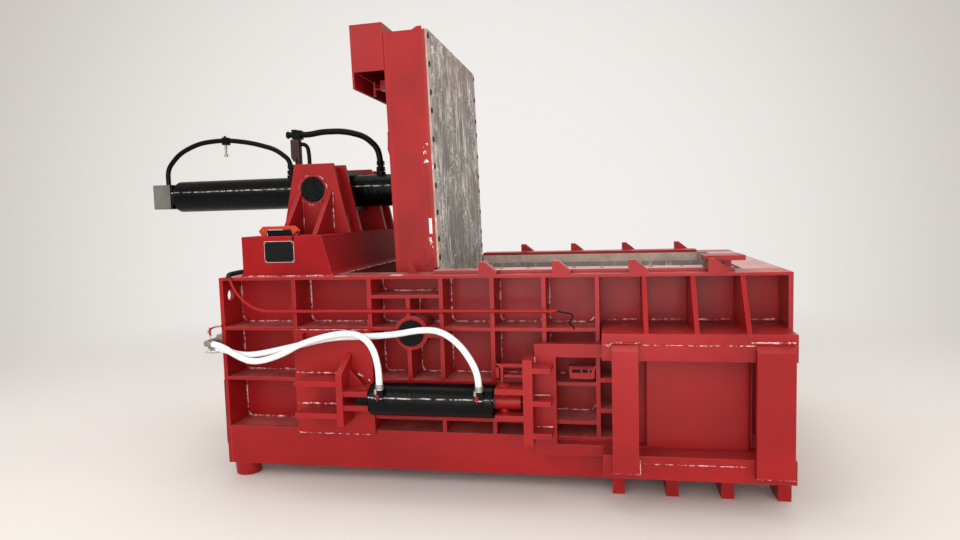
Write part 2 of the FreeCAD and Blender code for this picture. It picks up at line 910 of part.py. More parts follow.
def trunnion_support(side):
    crown = pin_height + d.support_crown
    middle = d.trunnion_place

    def trapezoid(inset, low):
        return [
            (middle - d.support_bottom_half + inset, low),
            (middle + d.support_bottom_half - inset, low),
            (middle + d.support_top_half - inset, crown - inset),
            (middle - d.support_top_half + inset, crown - inset),
        ]
    shell = plate("XZ", trapezoid(0, housing_top), across(side, d.support_inner, d.support_outer))
    hollow = plate("XZ", trapezoid(d.support_plate, housing_top - SPARE),
                   across(side, d.support_inner + d.support_plate, d.support_outer - d.support_plate))
    pieces = [cut(shell, hollow), bar("Y", (middle, pin_height), d.support_boss,
                                      across(side, d.support_inner,
                                             d.support_outer + d.support_boss_stand))]
    gusset_top = housing_top + d.gusset_rise
    for offset, toe in ((d.front_gusset_offset, d.front_gusset_toe),
                        (-d.rear_gusset_offset, d.rear_gusset_toe)):
        points = [
            (d.support_outer - SPARE, housing_top),
            (d.support_outer + toe, housing_top),
            (d.support_outer, gusset_top),
            (d.support_outer - SPARE, gusset_top),
        ]
        if side == NEAR:
            points = [(-sized(a), b) for a, b in points]
        start = middle + offset - d.gusset_plate / 2
        pieces.append(plate("YZ", points, (start, start + d.gusset_plate)))
    journal_hole = bar("Y", (middle, pin_height), d.trunnion_journal + d.running_gap * 2,
                       across(side, d.support_inner - SPARE, d.support_outer + d.support_boss_stand + SPARE))
    return node("trunnion_support_%s" % SIDE_NAMES[side], cut(fuse(*pieces), journal_hole))


rear_housing()
handle_plate()
for side in (NEAR, FAR):
    trunnion_support(side)


# --- top of the side walls ---------------------------------------------------------------------------

def blade_holder(side):
    holder = box((d.blade_holder_start, end_wall_face - d.blade_holder_end_gap),
                 across(side, chamber_half, chamber_half + d.blade_holder_width),
                 (frame_top, frame_top + d.blade_holder_plate))
    return node("blade_holder_%s" % SIDE_NAMES[side], holder)


def shear_blade(side):
    blade = box((d.blade_holder_start, end_wall_face - d.blade_holder_end_gap),
                across(side, chamber_half, liner_out), (frame_top - d.shear_blade_height, frame_top))
    return node("shear_blade_%s" % SIDE_NAMES[side], blade)


def limit_bracket():
    # a short post with a cross beam that reaches over the wall's flange
    beam_low = frame_top + d.limit_post_height
    post_front = rib_face - d.limit_post_inset
    beam_front = rib_face - d.limit_beam_inset
    post_start = end_wall_face - d.limit_post_back
    beam_start = end_wall_face - d.limit_beam_back
    post = box((post_start, post_start + d.limit_post_width),
               (-post_front, -post_front + d.limit_post_depth),
               (frame_top + d.blade_holder_plate, beam_low + SPARE))
    beam = box((beam_start, beam_start + d.limit_beam_length),
               (-beam_front, -beam_front + d.limit_beam_width),
               (beam_low, beam_low + d.limit_beam_height))
    return node("limit_bracket", fuse(post, beam))


for side in (NEAR, FAR):
    blade_holder(side)
    shear_blade(side)
limit_bracket()


# --- gate and its cylinder -----------------------------------------------------------------------------

gate_right = outlet_right - d.gate_overrun
gate_back = rib_face + d.gate_back_gap
gate_front = gate_back + d.gate_plate
gate_window_left = outlet_left - d.outlet_length - d.gate_window_gap
gate_left = gate_window_left - d.gate_stile
gate_low = level(d.gate_track_level) + d.gate_slide_gap
gate_high = level(d.gate_head_level) - d.gate_back_gap
window_low = gate_low + d.gate_foot_rail
window_high = gate_high - d.gate_head_rail
door_left = outlet_left - d.gate_window_gap
cylinder_y = -(rib_face + d.gate_cylinder_out)
cylinder_z = level(d.gate_cylinder_level)
cylinder_start = outlet_left - d.gate_cylinder_back
cylinder_end = cylinder_start + d.gate_cylinder_length
clevis_half = d.clevis_opening / 2
bracket_place = gate_left - d.bracket_gap
gate_pin_place = bracket_place - d.bracket_plate - d.gate_clevis_length + d.gate_pin_back


def gate_frame():
    # one sliding plate: a stile, a window as large as the outlet, and a door recessed between rails
    span = (-gate_front, -gate_back)
    sheet_plate = box((gate_left, gate_right), span, (gate_low, gate_high))
    window = box((gate_window_left, door_left), (span[0] - SPARE, span[1] + SPARE),
                 (window_low, window_high))
    floor_y = -gate_front + d.door_recess
    recess_points = [
        (-gate_front - SPARE, window_low),
        (-gate_front, window_low),
        (floor_y, window_low + d.door_bevel),
        (floor_y, window_high - d.door_bevel),
        (-gate_front, window_high),
        (-gate_front - SPARE, window_high),
    ]
    recess = plate("YZ", recess_points, (door_left + d.door_bevel, gate_right - d.door_bevel))
    return node("gate_frame", cut(sheet_plate, window, recess))


def gate_bracket():
    # an upright plate with ribs towards the gate's window and a clevis towards the cylinder
    front = rib_face + d.gate_back_gap + d.gate_plate + d.bracket_reach
    span = (-front, -gate_front)
    plate_start = bracket_place - d.bracket_plate
    pieces = [box((plate_start, bracket_place + d.bracket_gap + SPARE), span,
                  (level(d.bracket_low_level), level(d.bracket_high_level)))]
    for count in range(3):
        low = level(d.bracket_rib_first) + d.bracket_rib_spacing * count
        pieces.append(box((bracket_place, bracket_place + d.bracket_rib_reach), span,
                          (low, low + d.bracket_rib)))
    for low in (cylinder_z - clevis_half - d.clevis_plate, cylinder_z + clevis_half):
        pieces.append(box((plate_start - d.gate_clevis_length, plate_start + SPARE), span,
                          (low, low + d.clevis_plate)))
    hole = bar("Z", (gate_pin_place, cylinder_y), d.gate_pin,
               (cylinder_z - clevis_half - d.clevis_plate - SPARE,
                cylinder_z + clevis_half + d.clevis_plate + SPARE))
    return node("gate_bracket", cut(fuse(*pieces), hole))


def gate_rod():
    eye_start = gate_pin_place - d.gate_eye_back
    eye = box((eye_start, eye_start + d.gate_eye_length),
              (cylinder_y - d.gate_eye_height / 2, cylinder_y + d.gate_eye_height / 2),
              (cylinder_z - d.gate_eye_height / 2, cylinder_z + d.gate_eye_height / 2))
    rod_form = bar("X", (cylinder_y, cylinder_z), d.gate_rod,
                   (cylinder_end - d.gate_rod_inside, gate_pin_place))
    hole = bar("Z", (gate_pin_place, cylinder_y), d.gate_pin,
               (cylinder_z - clevis_half, cylinder_z + clevis_half))
    return node("gate_rod", cut(fuse(rod_form, eye), hole))


def headed_pin(label, pin_x, opening_half):
    # a pin through the two plates of a clevis, with a round head on the upper one
    reach = opening_half + d.clevis_plate
    shank = bar("Z", (pin_x, cylinder_y), d.gate_pin, (cylinder_z - reach, cylinder_z + reach))
    head = bar("Z", (pin_x, cylinder_y), d.gate_pin + d.pin_head_spread,
               (cylinder_z + reach, cylinder_z + reach + d.pin_head_height))
    return node(label, fuse(shank, head))


def gate_cylinder():
    start = cylinder_start
    end = cylinder_end
    radius = d.gate_cylinder_tube / 2
    edge = d.gate_tube_edge
    tube = turned([
        (start, 0),
        (end - d.gate_rod_bore_depth, 0),
        (end - d.gate_rod_bore_depth, d.gate_rod / 2 + d.running_gap),
        (end, d.gate_rod / 2 + d.running_gap),
        (end, radius - edge),
        (end - edge, radius),
        (start + edge, radius),
        (start, radius - edge),
    ], "X", 0, cylinder_y, cylinder_z)
    eye_half = d.mount_clevis_opening / 2 - d.slide_gap
    tail_half = d.gate_tail_width / 2
    tail = box((start - d.gate_tail_eye, start + SPARE), (cylinder_y - tail_half, cylinder_y + tail_half),
               (cylinder_z - eye_half, cylinder_z + eye_half))
    pieces = [tube, tail]
    for place_x in (start + d.port_inset, end - d.port_inset - d.port_length):
        pieces.append(box((place_x, place_x + d.port_length),
                          (cylinder_y - radius - d.port_stand, cylinder_y - radius + d.port_sink),
                          (cylinder_z, cylinder_z + d.port_height)))
    hole = bar("Z", (start - d.gate_tail_pin_back, cylinder_y), d.gate_pin,
               (cylinder_z - eye_half - SPARE, cylinder_z + eye_half + SPARE))
    return node("gate_cylinder", cut(fuse(*pieces), hole))


def gate_cylinder_mount():
    # a pad on the ribs, two box ribs, an upright web and a clevis for the cylinder's tail
    start = cylinder_start
    pad_start = start - d.mount_pad_setback
    pad_front = rib_face + d.mount_pad_plate
    reach = rib_face + d.mount_web_reach
    web_start = start - d.mount_web_setback
    web_end = web_start + d.mount_web
    web_low = level(d.mount_web_low_level)
    web_high = level(d.mount_web_high_level)
    pieces = [
        box((pad_start, pad_start + d.mount_pad_length), (-pad_front, -rib_face),
            (level(d.mount_pad_low_level), level(d.mount_pad_high_level))),
        plate("YZ", [
            (-pad_front + SPARE, web_low),
            (-reach, web_low),
            (-reach, web_high - d.mount_web_bevel),
            (-pad_front, web_high + d.mount_web_bevel),
            (-pad_front + SPARE, web_high + d.mount_web_bevel),
        ], (web_start, web_end)),
    ]
    for height in (d.mount_rib_low_level, d.mount_rib_high_level):
        pieces.append(box((start - d.mount_rib_setback, web_start + SPARE), (-reach, -pad_front + SPARE),
                          (level(height), level(height) + d.mount_rib)))
    opening_half = d.mount_clevis_opening / 2
    pin_x = start - d.gate_tail_pin_back
    for low in (cylinder_z - opening_half - d.clevis_plate, cylinder_z + opening_half):
        pieces.append(box((web_end - SPARE, start - d.mount_clevis_gap),
                          (-reach + d.mount_clevis_inset, -pad_front + SPARE), (low, low + d.clevis_plate)))
    gusset_low = cylinder_z + opening_half + d.clevis_plate - SPARE
    gusset_back = cylinder_y + d.mount_gusset_offset
    pieces.append(plate("XZ", [
        (web_end - SPARE, gusset_low),
        (web_end + d.mount_gusset_reach, gusset_low),
        (web_end, web_high - d.mount_web_bevel),
        (web_end - SPARE, web_high - d.mount_web_bevel),
    ], (gusset_back, gusset_back + d.mount_gusset_plate)))
    hole = bar("Z", (pin_x, cylinder_y), d.gate_pin,
               (cylinder_z - opening_half - d.clevis_plate - SPARE,
                cylinder_z + opening_half + d.clevis_plate + SPARE))
    return node("gate_cylinder_mount", cut(fuse(*pieces), hole))


gate_frame()
gate_bracket()
gate_rod()
headed_pin("gate_pin", gate_pin_place, clevis_half)
gate_cylinder()
gate_cylinder_mount()
headed_pin("gate_mount_pin", cylinder_start - d.gate_tail_pin_back, d.mount_clevis_opening / 2)


# --- lid, drawn from its hinge: X towards the chamber when shut, Z along the lid --------------------------

lid_reach = end_wall_face - d.hinge_place - d.lid_end_gap
lid_end = lid_reach - d.lid_head_rise
face_back = d.lid_front - d.lid_wear_plate
shell_back = d.lid_back - d.lid_back_plate
shell_half = lid_half - d.lid_band


def on_lid(label, item):
    # sets a piece drawn from the hinge at the lid's rest lean
    x, y, z = bases.get(item.Name, (sized(0), sized(0), sized(0)))
    turn(item, ALONG_Y, -d.lid_lean)
    place(item, d.hinge_place + x * cosine(d.lid_lean) - z * sine(d.lid_lean), y,
          hinge_height + x * sine(d.lid_lean) + z * cosine(d.lid_lean))
    return node(label, item)


def lid_shell():
    points = [
        (-shell_back, 0),
        (face_back, 0),
        (face_back, lid_end),
        (-shell_back, lid_end),
    ]
    pieces = [
        plate("XZ", points, (-shell_half, shell_half)),
        bar("Y", (0, 0), d.lid_front * 2, (-shell_half, shell_half)),
    ]
    # a raised band along each side edge of the face, with a bevelled foot
    band_back = face_back - d.lid_band_width
    band_points = [
        (band_back, d.lid_band_start),
        (face_back, d.lid_band_start + d.lid_band_width),
        (face_back, lid_end + d.lid_band_rise),
        (face_back - d.lid_band_width / 2, lid_end + d.lid_band_rise),
        (band_back, lid_end),
    ]
    for side in (NEAR, FAR):
        pieces.append(plate("XZ", band_points, across(side, shell_half - SPARE, lid_half)))
    shell = fuse(*pieces)
    lug_inner = d.lug_gap / 2
    lug_outer = lug_inner + d.lug_plate
    side_inner = shell_half - d.lid_side_plate
    pocket_floor = face_back - d.lid_face_web
    pocket_last = lid_end - d.lid_pocket_last_gap
    pitch = (pocket_last - d.lid_pocket_first + d.lid_rib) / 4
    tools = [bar("Y", (0, 0), d.hinge_shaft + d.running_gap * 2, (-lid_half - SPARE, lid_half + SPARE))]
    for count in range(4):
        low = d.lid_pocket_first + pitch * count
        high = low + pitch - d.lid_rib
        for side in (NEAR, FAR):
            tools.append(box((-shell_back - SPARE, pocket_floor), across(side, lug_outer, side_inner),
                             (low, high)))
    slot_low = d.lid_pin_up - d.lid_slot_below
    slot_high = d.lid_pin_up + d.lid_slot_above
    tools.append(box((-shell_back - SPARE, -shell_back + d.lid_slot_depth), (-lug_inner, lug_inner),
                     (slot_low, slot_high)))
    return on_lid("lid_shell", cut(shell, *tools))


def lid_back():
    # the cover plate with the slot for the rod's eye, and a lug on each side of the slot
    slot_low = d.lid_pin_up - d.lid_slot_below
    slot_high = d.lid_pin_up + d.lid_slot_above
    cover = box((-d.lid_back, -shell_back), (-shell_half, shell_half), (d.lid_front, lid_end))
    slot = box((-d.lid_back - SPARE, -shell_back + SPARE), (-d.lug_gap / 2, d.lug_gap / 2),
               (slot_low, slot_high))
    tip = -(d.lid_back + d.lug_reach)
    back = -d.lid_back + SPARE
    points = [
        (back, slot_low),
        (-d.lid_back - d.lug_foot_reach, slot_low + d.lug_foot_rise),
        (-d.lid_back - d.lug_foot_reach, slot_high - d.lug_waist_drop),
        (tip + d.lug_shoulder_inset, slot_high + d.lug_shoulder_rise),
        (tip, slot_high + d.lug_tip_rise),
        (tip + d.lug_tip_inset, slot_high + d.lug_crown_rise),
        (back, slot_high + d.lug_end_rise),
    ]
    lugs = []
    for side in (NEAR, FAR):
        lugs.append(plate("XZ", points, across(side, d.lug_gap / 2, d.lug_gap / 2 + d.lug_plate)))
    return on_lid("lid_back", fuse(cut(cover, slot), *lugs))


def lid_wear_plate():
    half = lid_half - d.lid_blade_width
    wear = box((face_back, d.lid_front), (-half, half), (d.lid_wear_start, lid_end))
    return on_lid("lid_wear_plate", wear)


def lid_blade(side):
    blade = box((face_back, d.lid_front), across(side, lid_half - d.lid_blade_width, lid_half),
                (d.lid_blade_start, lid_end - d.lid_blade_end_gap))
    return on_lid("lid_blade_%s" % SIDE_NAMES[side], blade)


def lid_head_box():
    # a cross beam on the lid's back at its free end, open below, with a skirt along its outer edge
    low = lid_reach - d.head_box_height
    outer = -(d.lid_back + d.head_box_depth)
    sheet_in = d.head_box_plate
    shell = box((outer, -d.lid_back), (-lid_half, lid_half), (low, lid_reach))
    hollow = box((outer + sheet_in, -d.lid_back - sheet_in), (-(lid_half - sheet_in), lid_half - sheet_in),
                 (low - SPARE, lid_reach - sheet_in))
    skirt = box((outer, outer + d.head_skirt_plate), (-lid_half, lid_half),
                (low - d.head_skirt_drop, low + SPARE))
    return on_lid("lid_head_box", fuse(cut(shell, hollow), skirt))


def lid_latch():
    # a guide block, a clamp screw with a cross handle, and a rod that carries the spring
    back = -d.lid_back
    half = d.latch_block / 2
    middle_y = -d.latch_offset
    rod_x = back - d.spring_stand
    block_top = d.latch_level + d.latch_block
    screw_z = d.latch_level + d.latch_screw_rise
    screw_end = back - d.latch_reach - d.latch_screw_out
    seat_low = d.spring_level - d.spring_seat_drop
    spring_top = d.spring_level + d.spring_height
    pieces = [
        box((back - d.latch_reach, back), (middle_y - half, middle_y + half), (d.latch_level, block_top)),
        bar("X", (middle_y, screw_z), d.latch_screw, (screw_end, back - d.latch_reach + SPARE)),
        bar("Z", (screw_end + d.latch_handle_inset, middle_y), d.latch_handle_thickness,
            (screw_z - d.latch_handle / 2, screw_z + d.latch_handle / 2)),
        bar("Z", (rod_x, middle_y), d.spring_rod, (seat_low, d.latch_level + SPARE)),
        box((rod_x - d.spring_seat_reach, back), (middle_y - half, middle_y + half),
            (seat_low - d.spring_seat_plate, seat_low)),
        bar("Z", (rod_x, middle_y), d.spring_width, (spring_top, spring_top + d.spring_cap)),
    ]
    return on_lid("lid_latch", fuse(*pieces))


def biarc(start, leaving, end, arriving):
    # two arcs that meet smoothly, leaving the start and reaching the end in the given directions
    chord = end - start
    spread = 2 * (1 - leaving.dot(arriving))
    drift = chord.dot(leaving + arriving)
    reach = (math.sqrt(drift ** 2 + spread * chord.dot(chord)) - drift) / spread
    first = start + leaving * reach
    second = end - arriving * reach
    joint = (first + second) * 0.5
    edges = []
    for low, corner, high in ((start, first, joint), (joint, second, end)):
        middle = (low + high) * 0.5
        slant = (high - low).Length / 2 / reach
        crest = middle + (corner - middle) * (slant / (1 + slant))
        edges.append(Part.Arc(low, crest, high).toShape())
    return edges


def least_gap(edges, wire, marks=9):
    # the smallest gap between the turns, over points on the wire's middle line
    points = [point for edge in edges for point in edge.discretize(marks)]
    half_turn = 2 * marks
    spans = [(other - point).Length for index, point in enumerate(points)
             for other in points[index + half_turn:]]
    return min(spans) - wire


def lid_spring():
    # one unbroken coil round the latch rod, on half-turn biarcs, with its least gap printed
    wire = d.spring_wire.number
    radius = (d.spring_width.number - wire) / 2
    rise = d.spring_height.number - wire
    half_turns = round(2 * rise / d.spring_pitch.number)
    climb = rise / half_turns
    run = math.hypot(math.pi * radius, climb)
    flat = math.pi * radius / run
    steep = climb / run
    edges = []
    side = 1
    for count in range(half_turns):
        start = FreeCAD.Vector(radius * side, 0, climb * count)
        end = FreeCAD.Vector(-radius * side, 0, climb * (count + 1))
        edges += biarc(start, FreeCAD.Vector(0, flat * side, steep),
                       end, FreeCAD.Vector(0, -flat * side, steep))
        side = -side
    section = Part.Wire([Part.makeCircle(wire / 2, FreeCAD.Vector(radius, 0, 0),
                                         FreeCAD.Vector(0, flat, steep))])
    form = Part.Wire(edges).makePipeShell([section], True, False)
    print("spring turns", half_turns / 2, "least gap", round(least_gap(edges, wire), 2))
    item = doc.addObject("Part::Feature", "SpringForm")
    item.Shape = form
    return item


lid_shell()
lid_back()
lid_wear_plate()
for side in (NEAR, FAR):
    lid_blade(side)
lid_head_box()
lid_latch()

spring = place(lid_spring(), -(d.lid_back + d.spring_stand), -d.latch_offset,
               d.spring_level + d.spring_wire / 2)
on_lid("lid_spring", spring)


# --- lid cylinder, drawn along X from its trunnion -------------------------------------------------------

def on_trunnion(label, item):
    x, y, z = bases.get(item.Name, (sized(0), sized(0), sized(0)))
    place(item, d.trunnion_place + x, y, pin_height + z)
    return node(label, item)


def lid_cylinder():
    radius = d.lid_tube / 2
    bore = d.lid_rod / 2 + d.running_gap
    front = d.lid_tube_front
    gland_end = front + d.lid_gland_length
    pin_at = pin_place - d.trunnion_place
    bore_start = pin_at - d.lid_rod_inside - d.lid_rod_bore_spare
    back = -d.lid_tube_back
    tube = turned([
        (back, 0),
        (bore_start, 0),
        (bore_start, bore),
        (gland_end, bore),
        (gland_end, d.lid_gland / 2),
        (front, d.lid_gland / 2),
        (front, radius - d.lid_tube_edge),
        (front - d.lid_tube_edge, radius),
        (back + d.lid_tube_round, radius),
        (back + d.lid_tube_round / 3, radius - d.lid_tube_round / 3),
        (back, radius - d.lid_tube_round),
    ])
    half = d.trunnion_block / 2
    length_half = d.trunnion_block_length / 2
    block = cut(box((-length_half, length_half), (-d.trunnion_block_half, d.trunnion_block_half),
                    (-half, half)),
                bar("X", (0, 0), d.lid_tube - 2 * SPARE, (-length_half - SPARE, length_half + SPARE)))
    tail = box((back - d.tail_block_length, back + d.tail_block_inset),
               (-d.tail_block / 2, d.tail_block / 2), (-d.tail_block / 2, d.tail_block / 2))
    journal_end = d.support_outer + d.support_boss_stand - d.journal_setback
    pieces = [tube, block, tail]
    for side in (NEAR, FAR):
        pieces.append(bar("Y", (0, 0), d.trunnion_journal,
                          across(side, d.trunnion_block_half - SPARE, journal_end)))
    # an upright bracket on the tube with the clamp that holds the pipes
    bracket_end = -d.pipe_bracket_back + d.pipe_bracket_length
    clamp_half = d.pipe_clamp / 2
    bracket_half = d.pipe_bracket_plate / 2
    pieces.append(box((-d.pipe_bracket_back, bracket_end), (-bracket_half, bracket_half),
                      (radius - 2 * SPARE, d.pipe_clamp_height + SPARE)))
    pieces.append(box((-d.pipe_bracket_back - d.pipe_clamp_overhang, bracket_end + d.pipe_clamp_overhang),
                      (-clamp_half, clamp_half),
                      (d.pipe_clamp_height, d.pipe_clamp_height + d.pipe_clamp)))
    return on_trunnion("lid_cylinder", fuse(*pieces))


def lid_rod():
    pin_at = pin_place - d.trunnion_place
    half = d.rod_eye_width / 2
    rod_form = bar("X", (0, 0), d.lid_rod, (pin_at - d.lid_rod_inside, pin_at))
    eye = bar("Y", (pin_at, 0), d.rod_eye, (-half, half))
    hole = bar("Y", (pin_at, 0), d.lid_pin, (-half - SPARE, half + SPARE))
    return on_trunnion("lid_rod", cut(fuse(rod_form, eye), hole))


def lid_pin():
    half = d.lug_gap / 2 - d.lid_pin_end_gap
    pin_at = pin_place - d.trunnion_place
    return on_trunnion("lid_pin", bar("Y", (pin_at, 0), d.lid_pin, (-half, half)))


lid_cylinder()
lid_rod()
lid_pin()


# --- rams ----------------------------------------------------------------------------------------------

ram_height = level(d.ram_level)


def main_ram():
    start = d.ram_face_place - d.ram_length
    half = chamber_half - d.ram_side_gap
    low = floor_top + d.slide_gap
    shell = box((start, d.ram_face_place), (-half, half), (low, ram_top))
    hollow = box((start - SPARE, d.ram_face_place - d.ram_face_plate),
                 (-(half - d.ram_wall), half - d.ram_wall), (low + d.ram_wall, ram_top - d.ram_wall))
    return node("main_ram", cut(shell, hollow))


def main_rod():
    seat = d.ram_face_place - d.ram_face_plate
    inner_end = d.main_tube_front - d.ram_stroke - d.main_rod_overlap
    return node("main_rod", bar("X", (0, ram_height), d.main_rod, (inner_end, seat)))


def main_cylinder():
    radius = d.main_tube / 2
    start = -d.main_tube_start
    front = d.main_tube_front
    bore = d.main_rod / 2 + d.running_gap
    bore_start = front - d.ram_stroke - d.main_rod_overlap - d.bore_spare
    collar_end = d.main_plate_place
    collar_start = collar_end - d.main_collar_length
    edge = d.main_tube_edge
    return node("main_cylinder", turned([
        (start, 0),
        (bore_start, 0),
        (bore_start, bore),
        (front, bore),
        (front, radius - edge),
        (front - edge, radius),
        (collar_end, radius),
        (collar_end, d.main_collar / 2),
        (collar_start, d.main_collar / 2),
        (collar_start, radius),
        (start + edge, radius),
        (start, radius - edge),
    ], "X", 0, 0, ram_height))


def main_cylinder_plate():
    sheet_plate = box((d.main_plate_place, d.main_plate_place + d.main_plate), (-liner_out, liner_out),
                      (frame_low, frame_top - d.main_plate_top_gap))
    hole = bar("X", (0, ram_height), d.main_tube,
               (d.main_plate_place - SPARE, d.main_plate_place + d.main_plate + SPARE))
    return node("main_cylinder_plate", cut(sheet_plate, hole))


def ram_cover():
    low = ram_top + d.ram_cover_gap
    return node("ram_cover", box((d.main_plate_place + d.main_plate, d.ram_cover_end),
                                 (-chamber_half, chamber_half), (low, low + d.ram_cover_plate)))


pusher_left = outlet_left + d.pusher_end_gap
pusher_right = outlet_right - d.pusher_end_gap
pusher_low = floor_top + d.slide_gap
pusher_high = outlet_top - d.pusher_top_gap
pusher_x = (outlet_left + outlet_right) / 2
pusher_z = (floor_top + outlet_top) / 2
pusher_face = chamber_half - d.pusher_setback
tunnel_end = rib_face + d.tunnel_length
pusher_seat = pusher_face + d.pusher_face_plate
pusher_tube_front = pusher_seat + d.pusher_tube_gap
pusher_tube_end = pusher_tube_front + d.pusher_tube_length


def pusher_head():
    back = pusher_face + d.pusher_length
    shell = box((pusher_left, pusher_right), (pusher_face, back), (pusher_low, pusher_high))
    wall = d.pusher_wall
    hollow = box((pusher_left + wall, pusher_right - wall), (pusher_seat, back + SPARE),
                 (pusher_low + wall, pusher_high - wall))
    return node("pusher_head", cut(shell, hollow))


def pusher_rod():
    inner_end = pusher_tube_front + d.pusher_stroke + d.pusher_rod_overlap
    return node("pusher_rod", bar("Y", (pusher_x, pusher_z), d.pusher_rod, (pusher_seat, inner_end)))


def pusher_cylinder():
    radius = d.pusher_tube / 2
    front = pusher_tube_front
    end = pusher_tube_end
    bore = d.pusher_rod / 2 + d.running_gap
    bore_end = front + d.pusher_stroke + d.pusher_rod_overlap + d.bore_spare
    collar_start = tunnel_end + d.tunnel_end_plate
    collar_end = collar_start + d.pusher_collar_length
    edge = d.pusher_tube_edge
    return node("pusher_cylinder", turned([
        (front, bore),
        (bore_end, bore),
        (bore_end, 0),
        (end, 0),
        (end, radius - edge),
        (end - edge, radius),
        (collar_end, radius),
        (collar_end, d.pusher_collar / 2),
        (collar_start, d.pusher_collar / 2),
        (collar_start, radius),
        (front + edge, radius),
        (front, radius - edge),
    ], "Y", pusher_x, 0, pusher_z))


def pusher_tunnel():
    sheet_in = d.tunnel_sheet
    shell = box((outlet_left - sheet_in, outlet_right + sheet_in), (rib_face, tunnel_end),
                (floor_top - sheet_in, outlet_top + sheet_in))
    hollow = box((outlet_left, outlet_right), (rib_face - SPARE, tunnel_end + SPARE),
                 (floor_top, outlet_top))
    margin = d.tunnel_end_margin
    end_plate = box((outlet_left - margin, outlet_right + margin),
                    (tunnel_end, tunnel_end + d.tunnel_end_plate), (floor_top - margin, outlet_top + margin))
    hole = bar("Y", (pusher_x, pusher_z), d.pusher_tube,
               (tunnel_end - SPARE, tunnel_end + d.tunnel_end_plate + SPARE))
    return node("pusher_tunnel", fuse(cut(shell, hollow), cut(end_plate, hole)))


def pusher_stand():
    # an upright plate under the barrel, cut to its curve, on a foot plate
    half = d.stand_width / 2
    half_plate = d.stand_plate / 2
    half_foot = d.stand_foot_depth / 2
    middle = pusher_tube_end - d.stand_setback
    web = box((pusher_x - half, pusher_x + half), (middle - half_plate, middle + half_plate),
              (d.stand_foot - SPARE, pusher_z - d.pusher_tube / 4))
    foot = box((pusher_x - half, pusher_x + half), (middle - half_foot, middle + half_foot),
               (0, d.stand_foot))
    seat = bar("Y", (pusher_x, pusher_z), d.pusher_tube, (middle - d.stand_plate, middle + d.stand_plate))
    return node("pusher_stand", cut(fuse(web, foot), seat))


main_ram()
main_rod()
main_cylinder()
main_cylinder_plate()
ram_cover()
pusher_head()
pusher_rod()
pusher_cylinder()
pusher_tunnel()
pusher_stand()


# --- feet ------------------------------------------------------------------------------------------------

def round_foot(side):
    # a levelling foot: a wide sole with a bevelled rim under a thick stem
    radius = d.round_foot / 2
    stem = d.round_foot_stem / 2
    inset = rib_face - d.round_foot_inset
    points = [
        (0, 0),
        (d.floor_gap, 0),
        (d.floor_gap, stem),
        (d.round_foot_shoulder, stem),
        (d.round_foot_sole, radius),
        (0, radius),
    ]
    return node("round_foot_%s" % SIDE_NAMES[side],
                turned(points, "Z", d.round_foot_place, inset if side == FAR else -inset, 0))


for side in (NEAR, FAR):
    round_foot(side)


# --- pipes and hoses ---------------------------------------------------------------------------------------

def run_wire(points, share=0.45):
    # straight runs joined by arcs tangent to both runs, each as large as its two runs allow
    corners = [FreeCAD.Vector(*point) for point in points]
    edges = []
    radii = []
    last = corners[0]
    for index in range(1, len(corners) - 1):
        before = corners[index] - corners[index - 1]
        after = corners[index + 1] - corners[index]
        reach = share * min(before.Length, after.Length)
        half_turn = before.getAngle(after) / 2
        radii.append(round(reach / math.tan(half_turn)))
        before.normalize()
        after.normalize()
        enter = corners[index] - before * reach
        leave = corners[index] + after * reach
        to_middle = after - before
        to_middle.normalize()
        radius = reach / math.tan(half_turn)
        centre = corners[index] + to_middle * (radius / math.cos(half_turn))
        middle = centre - to_middle * radius
        edges.append(Part.LineSegment(last, enter).toShape())
        edges.append(Part.Arc(enter, middle, leave).toShape())
        last = leave
    edges.append(Part.LineSegment(last, corners[-1]).toShape())
    return Part.Wire(edges), radii


def tube(label, points, diameter):
    wire, radii = run_wire(points)
    first = FreeCAD.Vector(*points[0])
    second = FreeCAD.Vector(*points[1])
    section = Part.Wire([Part.makeCircle(diameter.number / 2, first, second - first)])
    form = wire.makePipeShell([section], True, False)
    expected = math.pi * (diameter.number / 2) ** 2 * wire.Length
    print(label, "radii", radii, "volume share", round(form.Volume / expected, 4))
    item = doc.addObject("Part::Feature", "Tube")
    item.Shape = form
    item.Placement = FreeCAD.Placement()
    return node(label, item)


# Pipes on the lid cylinder, in its own upright middle plane, as distances from the trunnion.
tube_top = d.lid_tube.number / 2
tail_top = d.tail_block.number / 2
tail_middle = -d.lid_tube_back.number - d.tail_block_length.number / 2
bracket_face = -d.pipe_bracket_back.number + d.pipe_bracket_length.number
clamp_front = bracket_face + d.pipe_clamp_overhang.number
clamp_level = d.pipe_clamp_height.number + d.pipe_clamp.number / 2

on_trunnion("lid_pipe_rear", tube("lid_pipe_rear", [
    (tail_middle, 0, tail_top), (tail_middle, 0, 205), (-1240, 0, 315), (-1075, 0, 384), (-868, 0, 398),
    (-660, 0, 368), (-480, 0, 314), (-385, 0, 240), (-370, 0, 180), (-370, 0, tube_top)], d.rear_lid_pipe))
on_trunnion("lid_pipe_front", tube("lid_pipe_front", [
    (clamp_front, 0, clamp_level), (-215, 0, clamp_level), (-120, 0, 420), (40, 0, 418),
    (190, 0, 375), (280, 0, 290), (296, 0, 190), (296, 0, tube_top)], d.front_lid_pipe))
on_trunnion("lid_pipe_short", tube("lid_pipe_short", [
    (bracket_face, 0, 340), (-260, 0, 340), (-236, 0, 318), (-228, 0, 258), (-228, 0, tube_top)],
    d.short_lid_pipe))

# Hoses of the gate cylinder hang in front of the ribs, from elbows at the rear end to the two ports.
manifold_front = rib_face - d.hose_manifold_inset


